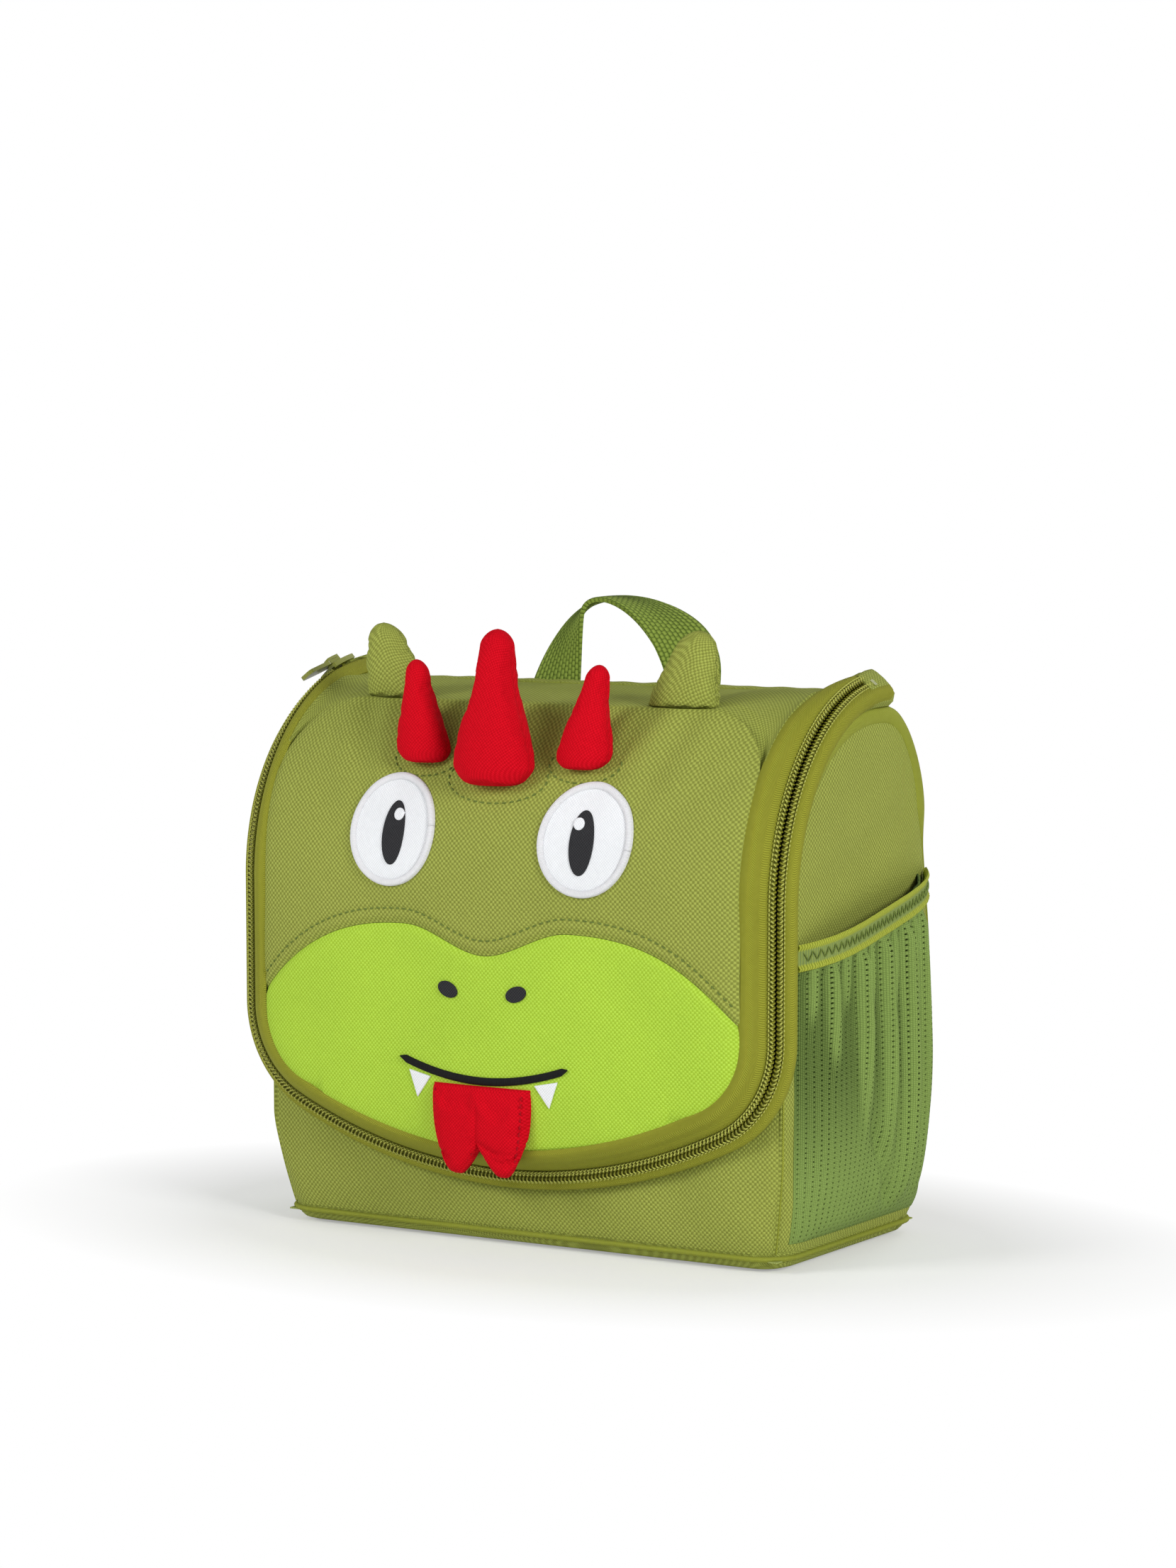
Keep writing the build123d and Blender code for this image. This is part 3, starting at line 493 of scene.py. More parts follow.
# %% [markdown]
# ### Elastic tape
# The pocket's elastic has two olive edges and a greyer middle with close ribs across. The first part of
# "cloth" runs from 0 to 1 across the tape, and a ramp on the distance from one half picks the middle.

# %% Elastic group
def build_elastic():
    tree, given, made = group_tree(
        "elastic tape",
        [("Cloth", "Vector", None), ("Rib", "Float", 0.8), ("Middle", "Color", GREY)] + TWO_COLOURS,
        PATTERN_GIVES,
    )
    across, run, _ = apart(tree, given.outputs["Cloth"])
    from_middle = maths(tree, "ABSOLUTE", maths(tree, "SUBTRACT", across, 0.5))
    inside = maths(tree, "SUBTRACT", 1.0, ramped(tree, from_middle, 0.22, 0.30))
    ribs = maths(tree, "ABSOLUTE", sine_of(tree, maths(tree, "DIVIDE", run, given.outputs["Rib"])))
    # The ribs' tops are painted lighter and the dips between them darker, on the edges and faintly in the
    # middle: painted highlight and shade. The greyer middle is the tape's own colour.
    edge = blended(tree, ramped(tree, ribs, 0.1, 0.9), given.outputs["Dark"], given.outputs["Light"])
    faint = maths(tree, "MULTIPLY", ribs, 0.35)
    middle = blended(tree, faint, given.outputs["Middle"], given.outputs["Light"])
    feed(tree, made.inputs["Colour"], blended(tree, inside, edge, middle))
    feed(tree, made.inputs["Height"], ribs)
    return tree


elastic_tape = build_elastic()
print("built", elastic_tape.name)

# %% [markdown]
# ### Uneven dye
# Dyed cloth is never one flat colour. This group multiplies a colour by slow and quick noise from the piece's
# own coordinates, so it turns a little lighter or darker from place to place. It gives a roughness as well.

# %% Uneven dye group
def build_dye():
    tree, given, made = group_tree(
        "uneven dye",
        [("Colour", "Color", GREY), ("Amount", "Float", 0.12)],
        [("Colour", "Color"), ("Roughness", "Float")],
    )
    place = tree.nodes.new("ShaderNodeTexCoord").outputs["Object"]
    slow, quick = cloudy(tree, place, 28.0, 3.0), cloudy(tree, place, 700.0, 1.0)
    both = maths(tree, "ADD", maths(tree, "MULTIPLY", slow, 0.65), maths(tree, "MULTIPLY", quick, 0.35))
    centred = maths(tree, "MULTIPLY", maths(tree, "SUBTRACT", both, 0.5), given.outputs["Amount"])
    level = maths(tree, "ADD", 1.0, maths(tree, "MULTIPLY", centred, 2.0))
    grey = tree.nodes.new("ShaderNodeCombineColor")
    for socket in grey.inputs[:3]:
        feed(tree, socket, level)
    dyed = blended(tree, 1.0, given.outputs["Colour"], grey.outputs[0], "MULTIPLY")
    feed(tree, made.inputs["Colour"], dyed)
    feed(tree, made.inputs["Roughness"], maths(tree, "SUBTRACT", 0.92, maths(tree, "MULTIPLY", quick, 0.18)))
    return tree


dye = build_dye()
print("built", dye.name)

# %% [markdown]
# ## The finishes
# Every finish places one pattern group and the dye group, then a Principled shader. Cloth and thread take
# their roughness from the dye group, where it varies a little from yarn to yarn. The coil and the painted
# metal are smoother, so each has one plain roughness of its own.

# %% Colours and a finish maker
def screen(code):
    """A six-figure colour code as the linear colour that the shader wants."""
    parts = [int(code[i : i + 2], 16) / 255 for i in (0, 2, 4)]
    return tuple(p / 12.92 if p <= 0.04045 else ((p + 0.055) / 1.055) ** 2.4 for p in parts) + (1.0,)


def finish_of(name, pattern, settings, dark, light, bump, depth=0.0003, rough=None, gloss=0.18):
    """A material: pattern group, uneven dye, bump from the pattern's height, and one Principled shader."""
    material = bpy.data.materials.new(name)
    material.use_nodes = True
    tree = material.node_tree
    tree.nodes.clear()
    shader, out = tree.nodes.new("ShaderNodeBsdfPrincipled"), tree.nodes.new("ShaderNodeOutputMaterial")
    tree.links.new(shader.outputs[0], out.inputs["Surface"])
    place = tree.nodes.new("ShaderNodeGroup")
    place.node_tree = pattern
    flat = tree.nodes.new("ShaderNodeAttribute")
    flat.attribute_name = "cloth"
    tree.links.new(flat.outputs["Vector"], place.inputs["Cloth"])
    for label, value in settings.items():
        place.inputs[label].default_value = value
    place.inputs["Dark"].default_value = screen(dark)
    place.inputs["Light"].default_value = screen(light)
    shade = tree.nodes.new("ShaderNodeGroup")
    shade.node_tree = dye
    tree.links.new(place.outputs["Colour"], shade.inputs["Colour"])
    tree.links.new(shade.outputs["Colour"], shader.inputs["Base Color"])
    if rough is None:
        tree.links.new(shade.outputs["Roughness"], shader.inputs["Roughness"])
    else:
        shader.inputs["Roughness"].default_value = rough
    raised = tree.nodes.new("ShaderNodeBump")
    raised.inputs["Strength"].default_value = bump
    raised.inputs["Distance"].default_value = depth
    tree.links.new(place.outputs["Height"], raised.inputs["Height"])
    tree.links.new(raised.outputs[0], shader.inputs["Normal"])
    shader.inputs["Specular IOR Level"].default_value = gloss
    return material


green_cloth = finish_of("green cloth", weave, {"Pitch": 0.85}, "7B8236", "A3AC50", 0.7)
lime_cloth = finish_of("lime cloth", weave, {"Pitch": 0.75}, "98BA30", "B2D44A", 0.5)
red_cloth = finish_of("red felted cloth", weave, {"Pitch": 0.6}, "B80414", "D20C20", 0.4, gloss=0.05)
lining_cloth = finish_of("lining cloth", weave, {"Pitch": 0.4}, "87914A", "9EA85E", 0.3)
print("woven finishes:", [m.name for m in (green_cloth, lime_cloth, red_cloth, lining_cloth)])

# %% Thread, tape, webbing and metal
SATIN = {"Width": 0.45, "Length": 9.0, "Break": 0.2}
TWISTED = {"Width": 0.25, "Length": 0.8, "Break": 0.3}
ROPED = {"Width": 1.6, "Length": 2.2, "Break": 0.8}
MOULDED = {"Width": 0.8, "Length": 3.0, "Break": 0.1}
CORDED = {"Width": 0.6, "Length": 1.5, "Break": 0.3}
PAINTED = {"Width": 2.0, "Length": 6.0, "Break": 0.05}
BAND_RIBS = {"Rib": 0.8, "Middle": screen("6F8350")}
zip_tape = finish_of("zip tape", herringbone, {"Rib": 0.75, "Row": 2.2}, "7A7C20", "9A9C32", 0.6)
binding_cloth = finish_of("edge binding", herringbone, {"Rib": 0.7, "Row": 3.0}, "7F862C", "9DA43E", 0.5)
webbing = finish_of("webbing", yarns, ROPED, "5E7426", "8CA044", 0.9, 0.0006)
white_satin = finish_of("white satin stitch", yarns, SATIN, "D0D1D6", "EAEAEC", 0.6)
black_satin = finish_of("black satin stitch", yarns, SATIN, "0B0B0B", "1C1C1C", 0.6)
white_cloth = finish_of("white cloth", weave, {"Pitch": 0.5}, "DADCE0", "EBEDEF", 0.3)
black_cloth = finish_of("black cloth", weave, {"Pitch": 0.5}, "232325", "333336", 0.3)
sewing_thread = finish_of("green thread", yarns, TWISTED, "55662C", "788A42", 0.5)
red_thread = finish_of("red thread", yarns, TWISTED, "8C0410", "B01020", 0.5)
pale_thread = finish_of("zip thread", yarns, TWISTED, "999C3A", "C3C666", 0.5)
coil_plastic = finish_of("coil", yarns, MOULDED, "6E6E16", "8A8A24", 0.2, rough=0.42, gloss=0.4)
dark_core = finish_of("coil core", yarns, CORDED, "46480F", "63661C", 0.5)
elastic = finish_of("elastic band", elastic_tape, BAND_RIBS, "7C8724", "A9B142", 0.5)
# The knit's dark colour is painted shade, for the dips between its loops, its wells and its folds' valleys.
knit = finish_of("pocket knit", knit_loops, {"Loop": 0.9}, "26380C", "87A052", 0.5)
slider_metal = finish_of("painted slider", yarns, PAINTED, "7F8427", "8F9433", 0.05, rough=0.35, gloss=0.5)
print("trim finishes ready,", len(bpy.data.materials), "materials")


# %% Dressing a piece
def dress(piece, material, slot, body, *nodes):
    """Give a piece its finish, its body and the solids that it stands for; the slot is not used."""
    piece.data.materials.clear()
    piece.data.materials.append(material)
    if body:
        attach(piece, body)
    if nodes:
        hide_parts(*nodes)
    return piece


print("pieces can be dressed")

# %% [markdown]
# ## The flap's face
# The face is two cloths joined along the muzzle seam, over thin foam. Its form is an upright profile turned
# about a far axis, so it bows gently from side to side. Each column of the grid runs from the bottom edge to
# the muzzle seam, or from the seam to the top, so both cloths meet along that line.
# The puff, the dip at each seam and a few creases are moves straight forward or back from that form.

# %% The frame's own sizes, in mm
ZIP_X, ZIP_Y, SHOULDER_Y, SHOULDER_Z, SHOULDER_R = 104.0, -61.0, 10.0, 122.0, 71.0
CORNER_X, CORNER_Z, CORNER_R, BOW_Z, BOW_R = 68.0, 78.327, 36.0, 216.5, 190.0
LEAN = math.atan2(BOW_Z - CORNER_Z, CORNER_X)
FACE_HALF, TAPE_REACH, FACE_TOP = 94.5, 9.5, 184.5
BOW_AXIS = 741.09
TOP_FLAT_X, TOP_ROUND_X, TOP_DROP = 68.0, 26.5, 26.0
TOP_HALF = FACE_HALF - 0.3
SIDE_X, SIDE_Y, PANEL_X, WALL_FOOT = 102.0, 52.5, 100.7, 6.2
SIDE_FRONT_R, BACK_Y, BACK_Z, BACK_R = 62.5, 12.5, 144.5, 40.0
EYE_X, EYE_Z = 38.0, 142.0
print("the zip's corner leans", round(math.degrees(LEAN), 1), "degrees")


# %% The face's plain form
def face_profile(z):
    """Where the face's middle stands at a height: upright, then round, then a straight slope."""
    round_r, slope_z, slope_y, slope, proud = 78.0, 161.0, -57.55, 0.70, 5.5
    round_part = SHOULDER_Y - np.sqrt(np.maximum(round_r**2 - (z - SHOULDER_Z) ** 2, 1))
    sloped = slope_y + slope * (z - slope_z)
    upper = np.where(z <= slope_z, round_part, sloped)
    return np.where(z <= SHOULDER_Z, SHOULDER_Y - round_r, upper) - proud


def face_plain(x, z):
    """The face's outer cloth before any puff."""
    return BOW_AXIS - np.sqrt((BOW_AXIS - face_profile(z)) ** 2 - x**2)


def muzzle_seam(x):
    """The height of the muzzle seam: two rounded lobes with a dip between them."""
    a = np.abs(np.asarray(x, float))
    lobe_x, outer_run, dip_z, lobe_z, end_z, end_slope = 32.0, 68.5, 102.0, 111.0, 76.0, 1.3
    t, s = a / lobe_x, (a - lobe_x) / outer_run
    inner = dip_z + (lobe_z - dip_z) * (3 * t**2 - 2 * t**3)
    outer = lobe_z * (2 * s**3 - 3 * s**2 + 1) + end_z * (3 * s**2 - 2 * s**3)
    return np.where(a < lobe_x, inner, outer - end_slope * outer_run * (s**3 - s**2))


def bow_height(x, inset):
    """The height of the zip's bottom line, moved in by an inset."""
    a = np.abs(x)
    bow = BOW_Z - np.sqrt(np.maximum((BOW_R - inset) ** 2 - a**2, 0))
    corner = CORNER_Z - np.sqrt(np.maximum((CORNER_R - inset) ** 2 - (a - CORNER_X) ** 2, 0))
    return np.where(a < CORNER_X + (CORNER_R - inset) * math.cos(LEAN), bow, corner)


def face_upper(x):
    """The height of the face's top seam, with a rounded shoulder at each side."""
    t = np.clip((np.abs(x) - TOP_FLAT_X) / TOP_ROUND_X, 0, 1)
    return FACE_TOP - TOP_DROP * (1 - np.sqrt(np.maximum(1 - t**2, 0)))


def edge_distance(x, z):
    """How far a place on the face lies from the face's edge."""
    a = np.abs(x)
    bow = BOW_R - TAPE_REACH - np.hypot(a, z - BOW_Z)
    corner = CORNER_R - TAPE_REACH - np.hypot(a - CORNER_X, z - CORNER_Z)
    in_corner = (a > CORNER_X) & (z < CORNER_Z)
    rounded = 26.2 - np.hypot(a - TOP_FLAT_X, np.maximum(z - (FACE_TOP - TOP_DROP), 0))
    top = np.where(a > TOP_FLAT_X, rounded, FACE_TOP - z)
    low = np.where(in_corner, corner, np.where(z < 110, bow, 99.0))
    return np.maximum(np.minimum(np.minimum(FACE_HALF - a, low), top), 0)


edge_y = float(face_plain(FACE_HALF, 100.0))
print("face middle at y", float(face_plain(0.0, 100.0)), "edge at y", round(edge_y, 2))


# %% The face's soft form
def face_soft(x, z):
    """The face's outer cloth with its puff, seam dips and creases."""
    edge = edge_distance(x, z)
    seam = z - muzzle_seam(x)
    rise = 1.5 * (1 - np.exp(-edge / 7.0)) - 0.9 * np.exp(-edge / 1.4)
    rise = rise - 1.1 * np.exp(-((seam / 1.5) ** 2)) - 0.35 * np.exp(-(((seam - 5.0) / 0.9) ** 2))
    rise = rise + 0.75 * uneven(x, z, 60, 11)
    ear_pull = np.exp(-((np.abs(x) - 54) / 18) ** 2) * ease(z, 138, 184)
    rise = rise + 0.95 * ear_pull * np.sin(np.abs(x) * 0.36 + (184 - z) * 0.13)
    brow = np.exp(-((x / 40) ** 2)) * ease(z, 156, 184)
    rise = rise + 0.7 * brow * np.sin(x * 0.30 + 0.8 + (184 - z) * 0.05)
    drag = np.exp(-(((z - 150 - 0.55 * (np.abs(x) - 62)) / 6.0) ** 2))
    rise = rise - 0.8 * drag * ease(np.abs(x), 58, 74) * ease(94 - np.abs(x), 0, 12)
    low = ease(60 - z, 0, 30)
    return face_plain(x, z) - rise - 0.4 * low * np.sin(x * 0.11 + z * 0.05)


def face_grid(low, high, rows, columns=171):
    """Columns over the face between two lines, closer together towards the sides."""
    s = np.linspace(-1, 1, columns)
    x = FACE_HALF * np.sin(s * np.pi / 2) * 0.35 + FACE_HALF * s * 0.65
    bottom, top = low(x), high(x)
    t = np.linspace(0, 1, rows)[:, None]
    t = t + np.sin(t * 2 * np.pi) * -0.04
    z = bottom + (top - bottom) * t
    xs = np.broadcast_to(x, z.shape)
    return np.stack([xs, face_soft(xs, z), z], 2), np.stack([xs, z], 2)


FORWARD = (0, -1, 0)
CLOTH_THICK = 1.2
points, cloth = face_grid(muzzle_seam, face_upper, 91)
face = sheet_piece("face", points, CLOTH_THICK, FORWARD, cloth)
dress(face, green_cloth, "green_cloth", "flap", "face_panel", "face_foam")
points, cloth = face_grid(lambda x: bow_height(x, TAPE_REACH), lambda x: muzzle_seam(x) - 0.15, 81)
muzzle = sheet_piece("muzzle", points, CLOTH_THICK, FORWARD, cloth)
dress(muzzle, lime_cloth, "lime_cloth", "flap", "muzzle_panel")
print("face points:", len(face.data.vertices), "muzzle points:", len(muzzle.data.vertices))

# %% [markdown]
# ## The flap's top
# From the face's top seam the cloth runs back level to the hinge and folds down over each front corner
# to meet the zip tape. The rows go from the hinge forward; the last row lies just behind the face's edge.
# Two sheets that only touch would let light through, so a narrow strip of the same cloth backs the seam.

# %% The top cloth
def shoulder_rise(angle):
    """How far the flap's edge stands outside the zip round the shoulder, at an angle in degrees."""
    return 0.5 + 6.5 * ease(angle, 90, 150)


def top_form(rows, columns):
    """A grid over the flap's top, from the hinge to the face's seam."""
    tuck, hinge_y, hinge_z = 1.5, 12.1, 188.0
    corner_z = FACE_TOP - TOP_DROP
    straight = TOP_HALF - TOP_ROUND_X
    x = np.linspace(-TOP_HALF, TOP_HALF, columns)
    t = np.linspace(0, 1, rows)[:, None]
    turning = np.maximum(0, np.abs(x) - straight) / TOP_ROUND_X * np.pi / 2
    seam_x = np.where(turning > 0, straight + TOP_ROUND_X * np.sin(turning), np.abs(x))
    seam_z = FACE_TOP - TOP_DROP * (1 - np.cos(turning))
    seam = np.stack([seam_x, face_plain(seam_x, seam_z) + tuck, seam_z], 1)
    hinge = np.stack([np.abs(x), np.full_like(x, hinge_y), np.full_like(x, hinge_z)], 1)
    last = np.array([TOP_HALF, float(face_plain(TOP_HALF, corner_z)) + tuck, corner_z])
    angle = np.radians(90 + 63 * t)
    radius = SHOULDER_R + shoulder_rise(np.degrees(angle))
    edge_y, edge_z = SHOULDER_Y + radius * np.cos(angle), SHOULDER_Z + radius * np.sin(angle)
    edge = np.concatenate([np.full_like(t, TOP_HALF), edge_y, edge_z], 1)
    soft = np.minimum(1, t * (8 / 3))
    edge[:, 1:] = [hinge_y, hinge_z] + (edge[:, 1:] - [hinge_y, hinge_z]) * soft
    plain = hinge + (seam - hinge) * t[..., None]
    chord = np.array([TOP_HALF, hinge_y, hinge_z]) + (last - [TOP_HALF, hinge_y, hinge_z]) * t
    side = (np.abs(x) / TOP_HALF) ** 6 * np.minimum(1, (1 - t) * 6)
    grid = plain + side[..., None] * (edge - chord)[:, None]
    grid[..., 0] *= np.where(x >= 0, 1, -1)
    return grid


UPWARD = (0, 0, 1)
top = top_form(61, 181)
up = normals_of(top, UPWARD)
x, y = top[..., 0], top[..., 1]
t = np.linspace(0, 1, 61)[:, None]
middle = np.sin(t * np.pi) ** 0.7
puff = 0.9 * middle * (1 - (np.abs(x) / TOP_HALF) ** 8) + 0.45 * uneven(x, y, 55, 21) * middle
puff = puff - 0.8 * np.exp(-((1 - t) / 0.03) ** 2)
top = sheet_piece("flap_top", top + up * puff[..., None], CLOTH_THICK, UPWARD)
dress(top, green_cloth, "green_cloth", "flap", "flap_top_panel")
print("flap top spans", [round(v * 1000) for v in top.dimensions], "mm")

# %% The strip behind the top seam
seam = top_form(2, 181)[-1]
a = np.maximum(0, np.abs(seam[:, 0]) - (TOP_HALF - TOP_ROUND_X)) / TOP_ROUND_X
a = np.arcsin(np.minimum(a, 1))
inward = np.stack([-np.sign(seam[:, 0]) * np.sin(a), 0 * a, -np.cos(a)], 1)
back = np.array([0, 1.0, 0])
depths_behinds = [
    (2.4, 0.5 - 1.68 * np.cos(a)), (1.0, 0.4 - 0.7 * np.cos(a)),
    (1.2, np.full_like(a, 1.5)), (1.0, np.full_like(a, 4.0)),
]
strip = np.stack([seam + inward * deep + back * behind[:, None] for deep, behind in depths_behinds])
strip = dress(sheet_piece("seam_strip", strip, 0.6, (0, -0.5, 1)), green_cloth, "green_cloth", "flap")
print("the strip has", len(strip.data.vertices), "points")

# %% [markdown]
# ## The body's skins
# The body is one soft box in four skins: a low front under the flap, a back that runs up over the shoulder,
# and two sides. Each is a grid between the frame's own outlines. The cloth stands off its foam by a
# millimetre or two in the middle and is drawn in at the seams, which makes a box of cloth and not of board.

# %% The side outline and skins
def side_top(y, inset=0.0):
    """The top of the side at a depth: a wide front shoulder, a flat, and a tighter back one."""
    front = SHOULDER_Z + np.sqrt(np.maximum((SIDE_FRONT_R - inset) ** 2 - (y - SHOULDER_Y) ** 2, 0))
    back = BACK_Z + np.sqrt(np.maximum((BACK_R - inset) ** 2 - (y - BACK_Y) ** 2, 0))
    return np.where(y < SHOULDER_Y, front, np.where(y > BACK_Y, back, FACE_TOP - inset))


def side_edge(y, z):
    """How far a place on the side lies from the side's edge."""
    front = SIDE_FRONT_R - np.hypot(np.minimum(y - SHOULDER_Y, 0), np.maximum(z - SHOULDER_Z, 0))
    back = BACK_R - np.hypot(np.maximum(y - BACK_Y, 0), np.maximum(z - BACK_Z, 0))
    ahead = np.where(z > SHOULDER_Z, front, y + SIDE_Y)
    behind = np.where(z > BACK_Z, back, SIDE_Y - y)
    return np.maximum(np.minimum(np.minimum(ahead, behind), z - WALL_FOOT), 0)


def side_soft(y, z, seed):
    """How far the side's outer cloth stands out."""
    edge = side_edge(y, z)
    pocket = ease(z, 100, 125)
    rise = (0.5 + 1.6 * pocket) * (1 - np.exp(-edge / 9.0)) - 0.7 * np.exp(-edge / 2.0)
    rise = rise + 0.5 * uneven(y, z, 48, seed) * ease(edge, 0, 14) * (0.4 + 0.6 * pocket)
    crease = np.exp(-(((z - 128 - 0.35 * (y + 20)) / 7) ** 2)) * ease(edge, 4, 20)
    return SIDE_X + rise - 0.8 * crease * pocket


def side_skin(inset=0.0, low=WALL_FOOT, rows=111, columns=73):
    """Depths and heights over the side, up to its rounded top."""
    s = np.linspace(-1, 1, columns)
    y = (SIDE_Y - inset) * (0.6 * s + 0.4 * np.sin(s * np.pi / 2))
    z = low + (side_top(y, inset) - low) * np.linspace(0, 1, rows)[:, None]
    return np.broadcast_to(y, z.shape), z


for side, word in ((1, "right"), (-1, "left")):
    y, z = side_skin()
    grid = np.stack([side * side_soft(y, z, 31 + side), y, z], 2)
    made = sheet_piece(f"side_{word}", grid, CLOTH_THICK, (side, 0, 0), np.stack([y, z], 2))
    dress(made, green_cloth, "green_cloth", "bag_body", f"side_panel_{word}", f"side_foam_{word}")
    print(made.name, "stands out to x", round(max(abs(v.co.x) for v in made.data.vertices) * 1000, 1))

# %% The front skin
s = np.linspace(-1, 1, 141)
x = PANEL_X * (0.55 * s + 0.45 * np.sin(s * np.pi / 2))
rim = bow_height(x, 3.0)
rim[[0, -1]] = rim[[1, -2]] + 2.5
z = WALL_FOOT + (rim - WALL_FOOT) * np.linspace(0, 1, 41)[:, None]
xs = np.broadcast_to(x, z.shape)
edge = np.minimum(np.minimum(PANEL_X - np.abs(xs), z - WALL_FOOT), rim - z)
pulled = 0.5 * np.sin(xs * 0.16 + z * 0.05) * ease(np.abs(xs), 30, 90)
forward = 2.2 * (1 - np.exp(-edge / 8)) + (0.5 * uneven(xs, z, 40, 41) + pulled) * ease(edge, 0, 10) - 0.4
points = np.stack([xs, -SIDE_Y - forward, z], 2)
front = sheet_piece("front", points, CLOTH_THICK, FORWARD, np.stack([xs, z], 2))
dress(front, green_cloth, "green_cloth", "bag_body", "front_panel", "front_foam")
print("the front skin stands", round(float(forward.max()), 1), "mm proud")


# %% The back skin
def back_wall(x, radius, low, upright, rounded):
    """A grid up the back and over its roll, with so many upright rows and so many rounded ones."""
    turning = np.linspace(0, np.pi / 2, rounded + 1)[1:]
    y = np.concatenate([np.full(upright, BACK_Y + radius), BACK_Y + radius * np.cos(turning)])
    z = np.concatenate([np.linspace(low, BACK_Z, upright), BACK_Z + radius * np.sin(turning)])
    return np.stack(np.broadcast_arrays(x, y[:, None], z[:, None]), 2)


UP_THE_BACK = (0, 1, 0.2)
upright_rows, rounded_rows, whole_run = 61, 32, 207.4
grid = back_wall(x, BACK_R, WALL_FOOT, upright_rows, rounded_rows)
outward = normals_of(grid, UP_THE_BACK)
over_the_roll = BACK_Z + BACK_R * np.linspace(0, np.pi / 2, rounded_rows + 1)[1:]
run = np.concatenate([grid[:upright_rows, 0, 2], over_the_roll])[:, None]
edge = np.minimum(np.minimum(PANEL_X - np.abs(x), run - WALL_FOOT), whole_run - run)
puff = 2.0 * (1 - np.exp(-np.maximum(edge, 0) / 10)) + 0.7 * uneven(x, run, 62, 51) * ease(edge, 0, 18) - 0.3
flat = np.stack(np.broadcast_arrays(x, run), 2)
back = sheet_piece("back", grid + outward * puff[..., None], CLOTH_THICK, UP_THE_BACK, flat)
dress(back, green_cloth, "green_cloth", "bag_body", "back_panel", "back_foam")
print("the back skin stands", round(float(puff.max()), 1), "mm proud")

# %% [markdown]
# ## The base and its welt
# The base is a shallow cloth tray under the walls, folded round at its edge. A corded welt hides the seam.
# Both follow a rounded rectangle, so one function gives their route at any distance out. The tray's inner
# rings draw in almost to a point, which closes its floor and its underside without a flat cap.

# %% Tray and welt
FOOT_R = 15.0


def base_route(out, step=2.0):
    """Points round the base at a distance outside it, with their outward directions and their run."""
    half_x, half_y, r = SIDE_X - FOOT_R, SIDE_Y - FOOT_R, FOOT_R + out
    corners = [(half_x, half_y, 0), (-half_x, half_y, 90), (-half_x, -half_y, 180), (half_x, -half_y, 270)]
    centres, ways = [], []
    for cx, cy, start in corners:
        for a in np.radians(np.linspace(start, start + 90, 9)):
            centres.append((cx + r * math.cos(a), cy + r * math.sin(a)))
            ways.append((math.cos(a), math.sin(a)))
    centres, ways = np.array(centres + centres[:1]), np.array(ways + ways[:1])
    run = run_of(centres)
    at = np.arange(0, run[-1] - step / 2, step)
    return read_at(at, run, centres), unit(read_at(at, run, ways)), at


heights_outs = [
    (6.6, -4.2), (2.2, -4.4), (1.3, -5.4), (1.3, -30), (0.1, -30), (0.1, -10),
    (0.3, -7.4), (1.0, -5.0), (2.2, -3.7), (4.2, -2.6), (6.6, -1.9),
]
TRAY_POINTS, ALMOST_A_POINT = 300, 0.01
rings = []
for height, out in heights_outs:
    path = base_route(max(out, 1 - FOOT_R))[0]
    whole = np.concatenate([path, np.full((len(path), 1), height)], 1)
    if out < -FOOT_R:
        whole[:, :2] *= ALMOST_A_POINT
    share = np.linspace(0, 1, len(whole) + 1)
    rings.append(read_at(np.arange(TRAY_POINTS) / TRAY_POINTS, share, np.concatenate([whole, whole[:1]])))
tray = ringed_piece("base_tray", rings, looped=True, sharp=70)
dress(tray, green_cloth, "green_cloth", "bag_body", "base_panel", "base_board")
path, ways, run = base_route(-2.1, 0.55)
centres = np.concatenate([path, np.full((len(path), 1), 4.5)], 1)
first = np.concatenate([ways, np.zeros((len(ways), 1))], 1)
second = np.broadcast_to([0, 0, 1.0], first.shape)
ribs = 0.95 + 0.08 * np.cos(run * 2 * np.pi / 2.2)
section = oval(2, 2, 10)[None] * ribs[:, None, None]
welt = ringed_piece("base_welt_cord", carried(centres, first, second, section), looped=True)
dress(welt, binding_cloth, "binding", "bag_body", "base_welt")
print("tray and welt have", len(tray.data.vertices), "and", len(welt.data.vertices), "points")

# %% [markdown]
# ## The edge binding
# A folded strip covers the seam between each side and the top. Along the shoulders it is wide and round;
# lower down the two cloths meet in a narrow turned seam. One section with a changing width makes both.

# %% Binding round each side
def side_loop(inset, step=1.5):
    """Points round the side outline, starting at the front foot, with directions towards its middle."""
    parts = [np.stack([np.full(60, -SIDE_Y + inset), np.linspace(WALL_FOOT, SHOULDER_Z, 60)], 1)]
    a, r = np.radians(np.linspace(180, 90, 50)), SIDE_FRONT_R - inset
    parts.append(np.stack([SHOULDER_Y + r * np.cos(a), SHOULDER_Z + r * np.sin(a)], 1))
    a, r = np.radians(np.linspace(90, 0, 40)), BACK_R - inset
    parts.append(np.stack([BACK_Y + r * np.cos(a), BACK_Z + r * np.sin(a)], 1))
    parts.append(np.stack([np.full(70, SIDE_Y - inset), np.linspace(BACK_Z, WALL_FOOT, 70)], 1))
    line = np.concatenate(parts)
    run = run_of(line)
    line = read_at(np.arange(0, run[-1], step), run, line)
    way = unit(np.gradient(line, axis=0))
    return line, np.stack([way[:, 1], -way[:, 0]], 1)


